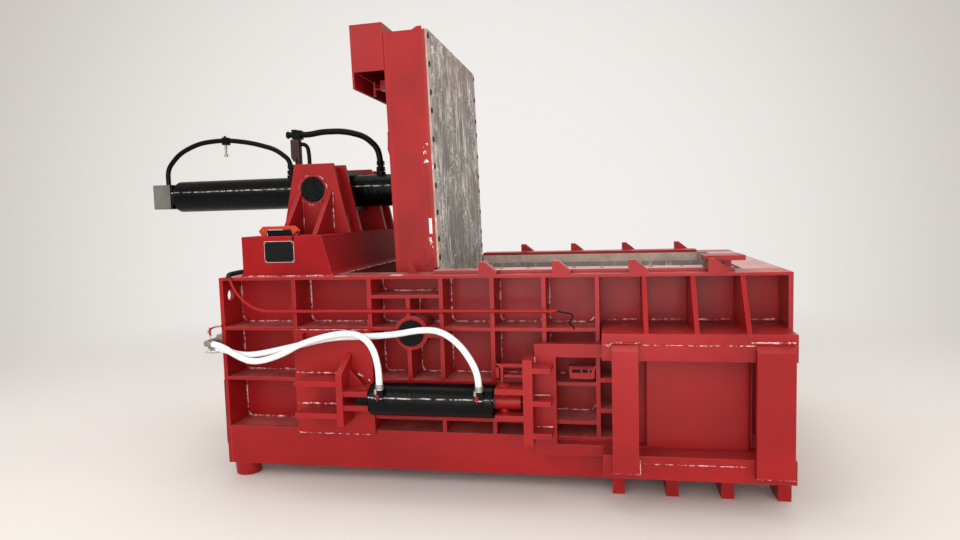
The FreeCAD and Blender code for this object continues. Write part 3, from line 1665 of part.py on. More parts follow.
def hose_manifold():
    # a block on the end plate's edge with two elbows, whose mouths lean down along the hoses
    pieces = [box((-d.hose_manifold_depth, 0), (-manifold_front, -manifold_front + d.hose_manifold_width),
                  (level(d.hose_manifold_low_level), level(d.hose_manifold_high_level)))]
    elbow_x = -d.hose_elbow_end - d.hose_elbow_length * cosine(d.hose_elbow_tilt)
    for out, height in ((d.front_hose_out, d.front_hose_level), (d.rear_hose_out, d.rear_hose_level)):
        hose_y = -(rib_face + out)
        elbow_z = level(height) + d.hose_elbow_length * sine(d.hose_elbow_tilt)
        pieces.append(bar("Y", (elbow_x, elbow_z), d.hose_elbow_body,
                          (hose_y - d.hose_elbow_body / 2, -manifold_front + SPARE)))
        mouth = bar("Z", (elbow_x, hose_y), d.hose_elbow, (elbow_z, elbow_z + d.hose_elbow_length))
        pieces.append(turn(mouth, ALONG_Y, 90 + d.hose_elbow_tilt))
    return node("hose_manifold", fuse(*pieces))


hose_manifold()
front_hose_y = -(rib_face + d.front_hose_out).number
front_hose_z = level(d.front_hose_level).number
rear_hose_y = -(rib_face + d.rear_hose_out).number
rear_hose_z = level(d.rear_hose_level).number
hose_start = -d.hose_elbow_end.number
port_y = (cylinder_y - d.gate_cylinder_tube / 2 - d.port_stand + d.port_hose_setback).number
port_top = (cylinder_z + d.port_height).number
rear_port_x = (cylinder_start + d.port_inset + d.port_length / 2).number
front_port_x = (cylinder_end - d.port_inset - d.port_length / 2).number

tube("gate_hose_rear", [
    (hose_start, front_hose_y, front_hose_z), (48, -1052, 800), (130, -1052, 746), (240, -1052, 703),
    (412, -1052, 752), (526, -1052, 816), (711, -1054, 869), (834, -1062, 882), (920, -1084, 860),
    (982, -1118, 800), (1014, -1150, 716), (rear_port_x, port_y, 650), (rear_port_x, port_y, port_top)],
    d.gate_hose)
tube("gate_hose_front", [
    (hose_start, rear_hose_y, rear_hose_z), (48, -1012, 768), (122, -1012, 744), (224, -1012, 741),
    (456, -1012, 790), (693, -1013, 848), (910, -1014, 853), (1077, -1016, 866), (1219, -1022, 894),
    (1338, -1042, 892), (1447, -1080, 828), (1524, -1130, 742), (front_port_x, port_y, 668),
    (front_port_x, port_y, port_top)], d.gate_hose)

side_pipe_y = -(rib_face + d.side_pipe / 2)
node("side_pipe", bar("X", (side_pipe_y, level(d.side_pipe_level)), d.side_pipe,
                      (d.side_pipe_start, d.side_pipe_start + d.side_pipe_length)))

# --- recompute, check and write ----------------------------------------------------------------------

doc.recompute()
os.makedirs("parts", exist_ok=True)
for item in doc.Objects:
    if "Invalid" in item.State or "Error" in item.State:
        raise SystemExit("%s could not be built" % item.Label)
for label, item in nodes.items():
    if item.Shape.isNull() or not item.Shape.isValid():
        raise SystemExit("%s has no valid shape" % label)
for label, item in nodes.items():
    item.Shape.exportStep("parts/%s.step" % label)
print(len(nodes), "nodes")
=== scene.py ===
import bmesh
import bpy
import contextlib
import json
import math
import random
from mathutils import Matrix, Vector


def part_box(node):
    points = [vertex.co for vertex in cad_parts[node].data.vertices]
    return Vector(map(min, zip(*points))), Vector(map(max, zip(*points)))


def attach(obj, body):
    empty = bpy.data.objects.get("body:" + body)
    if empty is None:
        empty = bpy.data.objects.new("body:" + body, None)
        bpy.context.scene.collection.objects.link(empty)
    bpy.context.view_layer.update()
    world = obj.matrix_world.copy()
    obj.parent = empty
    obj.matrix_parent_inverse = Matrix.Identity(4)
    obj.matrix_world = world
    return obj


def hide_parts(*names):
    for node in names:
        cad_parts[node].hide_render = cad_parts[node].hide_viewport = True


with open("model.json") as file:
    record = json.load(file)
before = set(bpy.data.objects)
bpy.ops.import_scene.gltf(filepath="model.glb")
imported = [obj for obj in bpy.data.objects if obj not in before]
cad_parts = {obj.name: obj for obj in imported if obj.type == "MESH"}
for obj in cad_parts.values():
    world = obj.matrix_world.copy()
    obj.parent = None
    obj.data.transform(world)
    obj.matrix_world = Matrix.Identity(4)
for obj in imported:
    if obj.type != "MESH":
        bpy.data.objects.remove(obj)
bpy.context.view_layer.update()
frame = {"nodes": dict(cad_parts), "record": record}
print("frame loaded")


def addObject(name, data):
    item = bpy.data.objects.new(name, data)
    bpy.context.scene.collection.objects.link(item)
    return item


camera = {
    "place": (2.23795, -4.62904, 1.5227), "yaw": 0.1859, "pitch": -0.0829, "roll": -0.0279,
    "lens": 25.914, "sensor": 36.0, "clip": (0.05, 200),
}


def lookDirection():
    yaw, pitch = camera["yaw"], camera["pitch"]
    return Vector((-math.sin(yaw) * math.cos(pitch), math.cos(yaw) * math.cos(pitch), math.sin(pitch)))


def addCamera():
    forward = lookDirection()
    level = Vector((math.cos(camera["yaw"]), math.sin(camera["yaw"]), 0))
    raised = level.cross(forward)
    c, s = math.cos(camera["roll"]), math.sin(camera["roll"])
    right = level * c + raised * s
    up = raised * c - level * s
    data = bpy.data.cameras.new("camera")
    data.lens = camera["lens"]
    data.sensor_width = camera["sensor"]
    data.clip_start, data.clip_end = camera["clip"]
    item = addObject("camera", data)
    turned = Matrix((right, up, -forward)).transposed().to_4x4()
    item.matrix_world = Matrix.Translation(camera["place"]) @ turned
    bpy.context.scene.camera = item


addCamera()
bpy.context.scene.view_settings.view_transform = "Standard"
print("camera set")


def tone(red, green, blue):
    # a colour as a paint chart gives it, turned into the linear values that shaders want
    def linear(value):
        value /= 255
        return value / 12.92 if value <= 0.04045 else ((value + 0.055) / 1.055) ** 2.4
    return (linear(red), linear(green), linear(blue), 1.0)


# cords: the two hoses of the gate cylinder

hoses = {
    "diameter": 0.035,
    "gate_hose_rear": {
        "length": 1.30,
        "route": [
            (-0.012, -1.052, 0.812), (0.048, -1.052, 0.800), (0.130, -1.052, 0.746), (0.240, -1.052, 0.703),
            (0.412, -1.052, 0.752), (0.526, -1.052, 0.816), (0.711, -1.054, 0.869), (0.834, -1.062, 0.882),
            (0.920, -1.084, 0.860), (0.982, -1.118, 0.800), (1.014, -1.150, 0.716), (1.0215, -1.163, 0.650),
            (1.0215, -1.163, 0.593),
        ],
    },
    "gate_hose_front": {
        "length": 1.785,
        "route": [
            (-0.012, -1.012, 0.780), (0.048, -1.012, 0.768), (0.122, -1.012, 0.744), (0.224, -1.012, 0.741),
            (0.456, -1.012, 0.790), (0.693, -1.013, 0.848), (0.910, -1.014, 0.853), (1.077, -1.016, 0.866),
            (1.219, -1.022, 0.894), (1.338, -1.042, 0.892), (1.447, -1.080, 0.828), (1.524, -1.130, 0.742),
            (1.5625, -1.163, 0.668), (1.5625, -1.163, 0.593),
        ],
    },
}
tubeLine = {"order": 3, "steps": 12}


def smoothTube(name, route, diameter, sides=5):
    # a round tube on one smooth line through its control points
    data = bpy.data.curves.new(name, "CURVE")
    data.dimensions = "3D"
    line = data.splines.new("NURBS")
    line.points.add(len(route) - 1)
    for point, place in zip(line.points, route):
        point.co = (*place, 1)
    line.order_u = tubeLine["order"]
    line.use_endpoint_u = True
    line.resolution_u = tubeLine["steps"]
    data.bevel_depth = diameter / 2
    data.bevel_resolution = sides
    data.use_fill_caps = True
    return addObject(name, data)


def addHoses():
    rubberFinish = bpy.data.materials.new("hose_rubber")
    for name in ("gate_hose_rear", "gate_hose_front"):
        plan = hoses[name]
        item = smoothTube(name + "_rubber", plan["route"], hoses["diameter"])
        item.data.materials.append(rubberFinish)
        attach(item, "frame")
        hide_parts(name)
        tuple(plan["route"][0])


addHoses()
print("hoses laid")


class Nodes:
    # a tree of shader nodes; each input is a plain value or the socket that it comes from
    def __init__(self, tree):
        self.tree = tree
        tree.nodes.clear()

    def feed(self, socket, value):
        if isinstance(value, bpy.types.NodeSocket):
            self.tree.links.new(value, socket)
        else:
            socket.default_value = value

    def add(self, kind, inputs=None, **settings):
        node = self.tree.nodes.new("ShaderNode" + kind)
        for label, value in settings.items():
            setattr(node, label, value)
        for label, value in (inputs or {}).items():
            self.feed(node.inputs[label], value)
        return node.outputs

    def objectPlace(self):
        return self.add("TexCoord")["Object"]

    def math(self, operation, *values):
        return self.add("Math", dict(enumerate(values)), operation=operation)[0]

    def times(self, first, second):
        return self.math("MULTIPLY", first, second)

    def inverse(self, value):
        return self.math("SUBTRACT", 1.0, value)

    def vectors(self, operation, first, second):
        return self.add("VectorMath", {0: first, 1: second}, operation=operation)["Value"]

    def split(self, vector):
        return self.add("SeparateXYZ", {0: vector})

    def noise(self, vector, scale, detail, roughness, distortion=0.0):
        return self.add("TexNoise", {"Vector": vector, "Scale": scale, "Detail": detail, "Roughness": roughness,
                                     "Distortion": distortion})["Fac"]

    def ramp(self, value, fromLow, fromHigh, toLow=0.0, toHigh=1.0):
        return self.add("MapRange", {"Value": value, "From Min": fromLow, "From Max": fromHigh, "To Min": toLow,
                                     "To Max": toHigh}, interpolation_type="SMOOTHSTEP")[0]

    def mix(self, factor, first, second):
        return self.add("Mix", {"Factor": factor, "A": first, "B": second}, data_type="RGBA")["Result"]

    def blend(self, factor, first, second):
        return self.add("MixShader", {0: factor, 1: first, 2: second})[0]

    def stretch(self, vector, scale):
        return self.add("Mapping", {"Vector": vector, "Scale": scale})["Vector"]

    def pattern(self, noise, limits=None, stretched=None):
        # a noise in object space, drawn out and ramped as a plan says
        value = self.noise(self.stretch(self.where, stretched) if stretched else self.where, *noise)
        return self.ramp(value, *limits) if limits else value

    def within(self, value, low, high):
        # one where a value lies between two others
        return self.times(self.math("GREATER_THAN", value, low), self.math("LESS_THAN", value, high))

    def group(self, tree, **values):
        return self.add("Group", values, node_tree=tree)

    def bump(self, height, strength, distance, normal=None):
        given = {"Height": height, "Strength": strength, "Distance": distance}
        if normal is not None:
            given["Normal"] = normal
        return self.add("Bump", given)["Normal"]


class Finish(Nodes):
    # one material
    def __init__(self, name):
        self.material = bpy.data.materials.get(name) or bpy.data.materials.new(name)
        self.material.use_nodes = True
        super().__init__(self.material.node_tree)
        self.where = self.objectPlace()

    def edges(self, radius):
        return self.group(edgesGroup, Radius=radius)

    def coat(self, values):
        return self.group(paintGroup, Color=values["color"], Deep=values["deep"], Dust=values["dust"],
                          Dusting=values["dusting"], Roughness=values["roughness"])

    def clouds(self, plan, color, deep):
        return self.mix(self.pattern(*plan["cloud"]), color, deep)

    def unevenly(self, plan, base):
        return self.math("MULTIPLY_ADD", self.noise(self.where, *plan["rough"]), plan["roughSpread"], base)

    def scratches(self, scale, width, amount):
        return self.group(scratchGroup, Scale=scale, Width=width, Amount=amount)["Mask"]

    def show(self, surface):
        self.add("OutputMaterial", {"Surface": surface})
        return self.material

    def shade(self, color, roughness, normal, gloss, more=None):
        return self.show(self.add("BsdfPrincipled", {
            "Base Color": color, "Roughness": roughness, "Normal": normal, "Specular IOR Level": gloss,
            **(more or {})})[0])


studio = {
    "wallMiddle": tone(243, 239, 236), "wallEdge": tone(196, 191, 186), "wallFade": (0.72, 1.0),
    "floor": tone(226, 221, 217), "floorReach": 14, "floorFade": (3.4, 7.5), "middle": (1.35, 0.0, 0.0),
    "floorRoughness": 0.55, "floorGloss": 0.25,
    "world": tone(248, 246, 243), "worldStrength": 0.84, "lampColor": (1.0, 0.985, 0.965),
    "lamps": {
        "key": {"place": (-2.6, -6.5, 5.2), "aim": (1.2, -0.4, 0.9), "size": 3.6, "power": 130},
        "fill": {"place": (6.8, -6.0, 3.0), "aim": (1.8, -0.6, 0.8), "size": 4.0, "power": 90},
        "front": {"place": (1.7, -8.0, 1.7), "aim": (1.5, -0.9, 0.75), "size": 5.5, "power": 260},
        "top": {"place": (1.4, 0.6, 6.5), "aim": (1.4, 0.0, 0.8), "size": 5.0, "power": 150},
    },
}


def addLight(name, plan):
    data = bpy.data.lights.new(name, "AREA")
    data.shape = "DISK"
    data.size = plan["size"]
    data.energy = plan["power"]
    data.color = studio["lampColor"]
    item = addObject(name, data)
    place = Vector(plan["place"])
    item.location = place
    item.rotation_mode = "QUATERNION"
    item.rotation_quaternion = (Vector(plan["aim"]) - place).to_track_quat("-Z", "Y")


def addWorld():
    # pale all round; what the camera sees of it darkens softly away from the middle of the view, a painted shade
    world = bpy.data.worlds.new("studio")
    bpy.context.scene.world = world
    world.use_nodes = True
    nodes = Nodes(world.node_tree)
    towards = nodes.vectors("DOT_PRODUCT", nodes.add("TexCoord")["Generated"], lookDirection())
    fade = nodes.ramp(nodes.math("ABSOLUTE", towards), *studio["wallFade"])
    seen = nodes.add("Background", {"Color": nodes.mix(fade, studio["wallEdge"], studio["wallMiddle"])})[0]
    light = nodes.add("Background", {"Color": studio["world"], "Strength": studio["worldStrength"]})[0]
    path = nodes.add("LightPath")
    direct = nodes.math("MAXIMUM", path["Is Camera Ray"], path["Is Glossy Ray"])
    nodes.add("OutputWorld", {"Surface": nodes.blend(direct, light, seen)})


def addFloor():
    # a wide pale floor that fades into the backdrop away from the machine
    data = bpy.data.meshes.new("floor")
    shape = bmesh.new()
    bmesh.ops.create_grid(shape, x_segments=1, y_segments=1, size=studio["floorReach"])
    bmesh.ops.translate(shape, verts=shape.verts, vec=studio["middle"])
    shape.to_mesh(data)
    shape.free()
    addObject("floor", data)
    finish = Finish("floor")
    away = finish.vectors("DISTANCE", finish.where, studio["middle"])
    skin = finish.add("BsdfPrincipled", {"Base Color": studio["floor"], "Roughness": studio["floorRoughness"],
                                         "Specular IOR Level": studio["floorGloss"]})[0]
    clear = finish.add("BsdfTransparent")[0]
    data.materials.append(finish.show(finish.blend(finish.ramp(away, *studio["floorFade"]), skin, clear)))


addWorld()
addFloor()
for lamp, lampPlan in studio["lamps"].items():
    addLight(lamp, lampPlan)
print("studio lit")


# shader node groups that the finishes share; a pattern is a noise, where its ramp begins and ends, and how it is
# stretched; a noise is scale, detail, roughness and distortion

def startGroup(name, inputs, outputs):
    tree = bpy.data.node_groups.new(name, "ShaderNodeTree")
    for label, (kind, value) in inputs.items():
        socket = tree.interface.new_socket(name=label, in_out="INPUT", socket_type="NodeSocket" + kind)
        socket.default_value = value
    for label, kind in outputs.items():
        tree.interface.new_socket(name=label, in_out="OUTPUT", socket_type="NodeSocket" + kind)
    nodes = Nodes(tree)
    return nodes, tree.nodes.new("NodeGroupInput").outputs, tree.nodes.new("NodeGroupOutput").inputs


def makeEdges():
    # where two faces meet: a rounded normal, and a mask of the edge itself
    nodes, given, result = startGroup("edges", {"Radius": ("Float", 0.004), "Softness": ("Float", 0.12)},
                                      {"Mask": "Float", "Normal": "Vector"})
    rounded = nodes.add("Bevel", {"Radius": given["Radius"]}, samples=4)[0]
    same = nodes.vectors("DOT_PRODUCT", rounded, nodes.add("NewGeometry")["True Normal"])
    nodes.feed(result["Mask"], nodes.ramp(nodes.inverse(same), 0.02, given["Softness"]))
    nodes.feed(result["Normal"], rounded)
    return nodes.tree


coating = {
    "broad": ((2.3, 4.0, 0.6), (0.3, 0.72)), "streak": ((1.0, 4.0, 0.65), (0.48, 0.8), (26, 26, 3.0)),
    "streakShare": 0.5, "upward": (0.45, 0.95), "uneven": ((9.0, 5.0, 0.7), (0.35, 0.7, 0.35, 1.0)),
    "rough": (14.0, 4.0, 0.6), "roughSpread": 0.16,
    "peel": (38.0, 2.0, 0.5), "peelHeight": 1.6, "fine": (260.0, 2.0, 0.5),
}


def makeCoatOfPaint():
    # enamel: slow changes of tone, fine orange peel, and a paler tone on what faces up: dust that settles there, and
    # in the paints for bright tops a painted sheen of light
    nodes, given, result = startGroup("coatOfPaint", {
        "Color": ("Color", (0.3, 0.02, 0.02, 1)), "Deep": ("Color", (0.2, 0.01, 0.01, 1)),
        "Dust": ("Color", (0.5, 0.2, 0.18, 1)), "Dusting": ("Float", 0.3), "Roughness": ("Float", 0.36),
    }, {"Color": "Color", "Roughness": "Float", "Height": "Float"})
    plan = coating
    where = nodes.where = nodes.objectPlace()
    patch = nodes.times(nodes.pattern(*plan["streak"]), plan["streakShare"])
    tinted = nodes.mix(nodes.math("MAXIMUM", nodes.pattern(*plan["broad"]), patch), given["Color"], given["Deep"])
    upward = nodes.ramp(nodes.split(nodes.add("NewGeometry")["Normal"])["Z"], *plan["upward"])
    # painted sheen as well as dust: faces that look up are mixed towards the paler tone
    settled = nodes.times(nodes.times(upward, given["Dusting"]), nodes.pattern(*plan["uneven"]))
    rough = nodes.math("MULTIPLY_ADD", nodes.noise(where, *plan["rough"]), plan["roughSpread"], given["Roughness"])
    fine = nodes.noise(where, *plan["fine"])
    nodes.feed(result["Color"], nodes.mix(settled, tinted, given["Dust"]))
    nodes.feed(result["Roughness"], nodes.math("SUBTRACT", rough, plan["roughSpread"] / 2))
    nodes.feed(result["Height"],
               nodes.math("MULTIPLY_ADD", nodes.noise(where, *plan["peel"]), plan["peelHeight"], fine))
    return nodes.tree


scratching = {"stretch": (1.0, 1.0, 0.28), "line": (2.5, 0.55, 1.2), "places": (5.0, 3.0, 0.6), "full": 0.75}


def makeScratches():
    # thin wandering lines, long in one direction
    nodes, given, result = startGroup("scratches", {
        "Scale": ("Float", 6.0), "Width": ("Float", 0.02), "Amount": ("Float", 0.5)}, {"Mask": "Float"})
    plan, where = scratching, nodes.objectPlace()
    line = nodes.noise(nodes.stretch(where, plan["stretch"]), given["Scale"], *plan["line"])
    ridge = nodes.math("ABSOLUTE", nodes.math("SUBTRACT", line, 0.5))
    thin = nodes.inverse(nodes.ramp(ridge, 0.0, given["Width"]))
    some = nodes.ramp(nodes.noise(where, *plan["places"]), given["Amount"], plan["full"])
    nodes.feed(result["Mask"], nodes.times(thin, some))
    return nodes.tree


edgesGroup = makeEdges()
paintGroup = makeCoatOfPaint()
scratchGroup = makeScratches()
print("shader groups made")


# painted finishes: the machine's red, and what differs from it in the others

redValues = {
    "color": tone(156, 23, 25), "deep": tone(136, 17, 20), "dust": tone(176, 74, 72), "dusting": 0.3,
    "edgeColor": tone(202, 78, 76), "edgeWear": 0.6, "edge": 0.005,
    "roughness": 0.36, "bump": 0.3, "gloss": 0.2, "coat": 0.04,
}
paintDepth = 0.0006
coatRoughness = 0.12


def enamel(name, marks=None, **changes):
    values = {**redValues, **changes}
    finish = Finish(name)
    edge = finish.edges(values["edge"])
    coat = finish.coat(values)
    # painted highlight: the edges are lightened towards the edge colour, standing for light caught along them
    color = finish.mix(finish.times(edge["Mask"], values["edgeWear"]), coat["Color"], values["edgeColor"])
    if marks:
        color = marks(finish, color)
    normal = finish.bump(coat["Height"], values["bump"], paintDepth, edge["Normal"])
    return finish.shade(color, coat["Roughness"], normal, values["gloss"],
                        {"Coat Weight": values["coat"], "Coat Roughness": coatRoughness})


redEnamel = enamel("red_enamel")
housingPaint = enamel(
    "housing_paint", color=tone(152, 22, 25), deep=tone(128, 16, 20), dust=tone(172, 72, 70),
    edgeColor=tone(206, 84, 82), edgeWear=0.7, roughness=0.62, gloss=0.1, coat=0.0)
# painted sheen: in the next two paints the upward faces are paled strongly, standing for light reflected off the
# tops
wallTopPaint = enamel(
    "wall_top_paint", deep=tone(134, 17, 20), dust=tone(216, 128, 124), dusting=0.6,
    edgeColor=tone(206, 84, 82), edgeWear=0.7)
# painted sheen on the tops of the blade holder and the front end wall
brightTopPaint = enamel(
    "bright_top_paint", color=tone(152, 22, 25), deep=tone(128, 16, 20), dust=tone(216, 156, 151), dusting=0.9,
    edgeColor=tone(214, 100, 98), edgeWear=0.7, edge=0.004, roughness=0.3, gloss=0.3, coat=0.1)
blackPaint = enamel(
    "black_paint", color=tone(9, 9, 10), deep=tone(6, 6, 7), dust=tone(34, 33, 32), dusting=0.1,
    edgeColor=tone(46, 44, 43), edgeWear=0.35, edge=0.004, roughness=0.3, bump=0.35, gloss=0.1, coat=0.0)
orangeEnamel = enamel(
    "orange_enamel", color=tone(180, 52, 28), deep=tone(156, 40, 24), dust=tone(226, 128, 96), dusting=0.5,
    edgeColor=tone(232, 132, 98), edgeWear=0.7, edge=0.003, roughness=0.4, bump=0.25, gloss=0.25, coat=0.05)
brownPaint = enamel(
    "brown_paint", color=tone(62, 38, 35), deep=tone(44, 27, 26), dust=tone(96, 70, 66),
    edgeColor=tone(112, 84, 78), edge=0.002, roughness=0.45, bump=0.4, gloss=0.25, coat=0.0)

steel = {
    "cloud": ((6.0, 6.0, 0.65, 0.4), (0.3, 0.72)), "rough": (22.0, 5.0, 0.6), "roughSpread": 0.25,
    "roughBelow": 0.12, "grain": ((1.0, 3.0, 0.5), None, (300, 40, 300)), "grainDepth": 0.0004, "gloss": 0.35,
}


def bareSteel(name, color, deep, scratch, scratches, strength, roughness, metallic, bump, edge):
    finish = Finish(name)
    marks = finish.times(finish.scratches(*scratches), strength)
    marked = finish.mix(marks, finish.clouds(steel, color, deep), scratch)
    rough = finish.unevenly(steel, roughness - steel["roughBelow"])
    grain = finish.pattern(*steel["grain"])
    normal = finish.bump(grain, bump, steel["grainDepth"], finish.edges(edge)["Normal"])
    return finish.shade(marked, rough, normal, steel["gloss"], {"Metallic": metallic})


wornSteel = bareSteel(
    "worn_steel", tone(140, 132, 124), tone(118, 110, 104), tone(226, 220, 212),
    scratches=(6.0, 0.032, 0.40), strength=0.95, roughness=0.5, metallic=0.15, bump=0.2, edge=0.003)
bareBlade = bareSteel(
    "bare_blade", tone(186, 166, 152), tone(158, 138, 126), tone(236, 230, 222),
    scratches=(16.0, 0.03, 0.45), strength=0.6, roughness=0.45, metallic=0.3, bump=0.2, edge=0.003)
greySteel = bareSteel(
    "grey_steel", tone(112, 110, 106), tone(92, 90, 86), tone(170, 166, 160),
    scratches=(12.0, 0.02, 0.5), strength=0.4, roughness=0.55, metallic=0.2, bump=0.25, edge=0.004)
zincFitting = bareSteel(
    "zinc_fitting", tone(176, 172, 164), tone(140, 132, 122), tone(214, 210, 204),
    scratches=(40.0, 0.03, 0.5), strength=0.4, roughness=0.34, metallic=0.7, bump=0.2, edge=0.002)
chromeRod = bareSteel(
    "chrome_rod", tone(206, 206, 206), tone(186, 186, 188), tone(230, 230, 230),
    scratches=(30.0, 0.015, 0.6), strength=0.3, roughness=0.2, metallic=0.95, bump=0.05, edge=0.003)

plainValues = {
    "cloud": ((40.0, 4.0, 0.65), (0.32, 0.68)), "rough": (68.0, 3.0, 0.6), "roughSpread": 0.2,
    "grain": (320.0, 2.0, 0.5), "bump": 0.3, "gloss": 0.12,
}


def plainFinish(name, color, deep, roughness, **changes):
    values = {**plainValues, **changes}
    finish = Finish(name)
    normal = finish.bump(finish.noise(finish.where, *values["grain"]), values["bump"], paintDepth)
    return finish.shade(finish.clouds(values, color, deep),
                        finish.unevenly(values, roughness - values["roughSpread"] / 2), normal, values["gloss"])


hoseRubber = plainFinish(
    "hose_rubber", tone(24, 23, 23), tone(17, 16, 16), 0.46, cloud=((30.0, 4.0, 0.6), (0.3, 0.7)),
    rough=(60.0, 3.0, 0.6), grain=(420.0, 2.0, 0.5), bump=0.35, gloss=0.28)
plateBlack = plainFinish("plate_black", tone(17, 17, 18), tone(12, 12, 13), 0.5)
boltBlack = plainFinish("bolt_black", tone(11, 10, 10), tone(7, 7, 7), 0.55)
paleTrim = plainFinish("pale_trim", tone(204, 190, 184), tone(168, 152, 146), 0.45)
wirePale = plainFinish("wire_pale", tone(214, 208, 200), tone(176, 168, 160), 0.5)

filmedTube = {
    "color": tone(9, 9, 10), "deep": tone(6, 6, 7), "dust": tone(34, 33, 32), "dusting": 0.1, "roughness": 0.26,
    "edge": 0.004, "gloss": 0.12, "shine": tone(214, 212, 210), "shineStrength": 0.75,
    "wander": ((9.0, 3.0, 0.6), None, (1, 0, 0)), "wanderHeight": 0.012, "creaseHalf": (0.001, 0.005),
    "broken": ((1.0, 5.0, 0.7), (0.38, 0.62), (34, 4, 4)),
    "film": ((3.0, 4.0, 0.6, 1.5), None, (9, 3, 3)), "filmBump": 0.5, "filmDepth": 0.006,
    "grey": tone(112, 110, 106), "deepGrey": tone(94, 92, 88), "cloud": ((5.0, 5.0, 0.6), (0.3, 0.7)),
    "brown": tone(62, 38, 35),
}


def tubeFinish(name, creaseHeight, near, greyBefore=None, bracket=None):
    # black paint under clear film, with a painted highlight broken along one line on its near side, and the plain
    # grey block behind
    plan = filmedTube
    finish = Finish(name)
    coat = finish.coat(plan)
    place = finish.split(finish.where)
    # painted highlight: a pale broken line at one height along the tube, only on its near side
    wander = finish.times(finish.pattern(*plan["wander"]), plan["wanderHeight"])
    line = finish.math("SUBTRACT", place["Z"], creaseHeight - plan["wanderHeight"] / 2)
    apart = finish.math("ABSOLUTE", finish.math("SUBTRACT", line, wander))
    crease = finish.inverse(finish.ramp(apart, *plan["creaseHalf"]))
    broken = finish.times(crease, finish.pattern(*plan["broken"]))
    shine = finish.times(finish.times(broken, finish.within(place["Y"], *near)), plan["shineStrength"])
    color = finish.mix(shine, coat["Color"], plan["shine"])
    film = finish.pattern(*plan["film"])
    if greyBefore:
        behind = finish.math("LESS_THAN", place["X"], greyBefore)
        grey = finish.clouds(plan, plan["grey"], plan["deepGrey"])
        held = finish.times(finish.within(place["X"], *bracket[:2]), finish.within(place["Z"], *bracket[2:]))
        color = finish.mix(held, finish.mix(behind, color, grey), plan["brown"])
        film = finish.times(film, finish.inverse(behind))
    normal = finish.bump(film, plan["filmBump"], plan["filmDepth"], finish.edges(plan["edge"])["Normal"])
    return finish.shade(color, coat["Roughness"], normal, plan["gloss"])


tubePlaces = {"pinHalf": 0.045, "lidCrease": 0.028, "lidNear": (-0.2, 0.0), "greyLength": 0.134,
              "bracket": (0.06, 0.108), "bracketRise": (0.112, 0.374), "gateCrease": 0.026, "gateNear": (-1.3, -0.9)}
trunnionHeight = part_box("lid_pin")[0].z + tubePlaces["pinHalf"]
lidTubePaint = tubeFinish(
    "lid_tube_paint", trunnionHeight + tubePlaces["lidCrease"], tubePlaces["lidNear"],
    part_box("lid_cylinder")[0].x + tubePlaces["greyLength"],
    (*tubePlaces["bracket"], *(trunnionHeight + rise for rise in tubePlaces["bracketRise"])))
gateRodHeight = sum(corner.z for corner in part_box("gate_rod")) / 2
gateTubePaint = tubeFinish("gate_tube_paint", gateRodHeight + tubePlaces["gateCrease"], tubePlaces["gateNear"])

weld = {
    "color": tone(150, 24, 27), "crest": tone(244, 206, 202), "crests": ((30.0, 4.0, 0.7), (0.44, 0.6)),
    "fine": ((160.0, 2.0, 0.6), (0.3, 0.55)), "ripple": (120.0, 3.0, 0.6), "bump": 0.9, "depth": 0.002,
    "roughness": 0.26, "gloss": 0.4,
}


def weldFinish():
    # a bead of weld under the enamel, with painted highlights: pale glints broken along it
    finish = Finish("weld_bead")
    crest = finish.times(finish.pattern(*weld["crests"]), finish.pattern(*weld["fine"]))
    normal = finish.bump(finish.noise(finish.where, *weld["ripple"]), weld["bump"], weld["depth"])
    return finish.shade(finish.mix(crest, weld["color"], weld["crest"]), weld["roughness"], normal, weld["gloss"])


# the lid's own finishes: its plates are measured along and across the lean that it rests at

lid = {"hinge": (1.150, 0.866), "lean": math.radians(1.35), "front": 0.118}


def onLid(along, y, up):
    c, s = math.cos(lid["lean"]), math.sin(lid["lean"])
    return Vector((lid["hinge"][0] + along * c - up * s, y, lid["hinge"][1] + along * s + up * c))


def lidPlace(finish):
    # how far a point lies in front of the hinge and above it, along the leaning lid
    turned = finish.add("Mapping", {"Vector": finish.where, "Location": (lid["hinge"][0], 0, lid["hinge"][1]),
                                    "Rotation": (0, -lid["lean"], 0)}, vector_type="TEXTURE")["Vector"]
    place = finish.split(turned)
    return place["X"], place["Z"]


wearPlate = {
    "color": tone(134, 127, 119), "deep": tone(112, 106, 99), "cloud": ((4.0, 6.0, 0.65, 0.4), (0.3, 0.72)),
    "blush": tone(176, 120, 116), "blushRise": (1.15, 1.75),
    "blushPatch": ((3.0, 5.0, 0.7), (0.35, 0.7), (1, 3, 1)), "blushStrength": 0.5,
    "run": tone(206, 201, 193), "runs": ((15.0, 4.0, 0.6, 0.6), (0.56, 0.66), (1, 1, 0.13)),
    "runPatch": ((6.0, 3.0, 0.6), (0.4, 0.6), (1, 1, 0.5)), "runStrength": 0.75,
    "scratch": tone(232, 228, 221), "scratches": ((3.4, 0.034, 0.28), (7.5, 0.04, 0.42)),
    "curl": tone(236, 232, 225), "curls": (5.5, 1.5, 0.4, 3.2), "curlWidth": 0.03,
    "curlPatch": ((3.2, 2.0, 0.5), (0.42, 0.54)),
    "rough": (22.0, 5.0, 0.6), "roughSpread": 0.25, "roughness": 0.4, "metallic": 0.1, "gloss": 0.35,
    "grain": ((4.0, 3.0, 0.5), None, (60, 60, 12)), "bump": 0.3, "edge": 0.003,
}


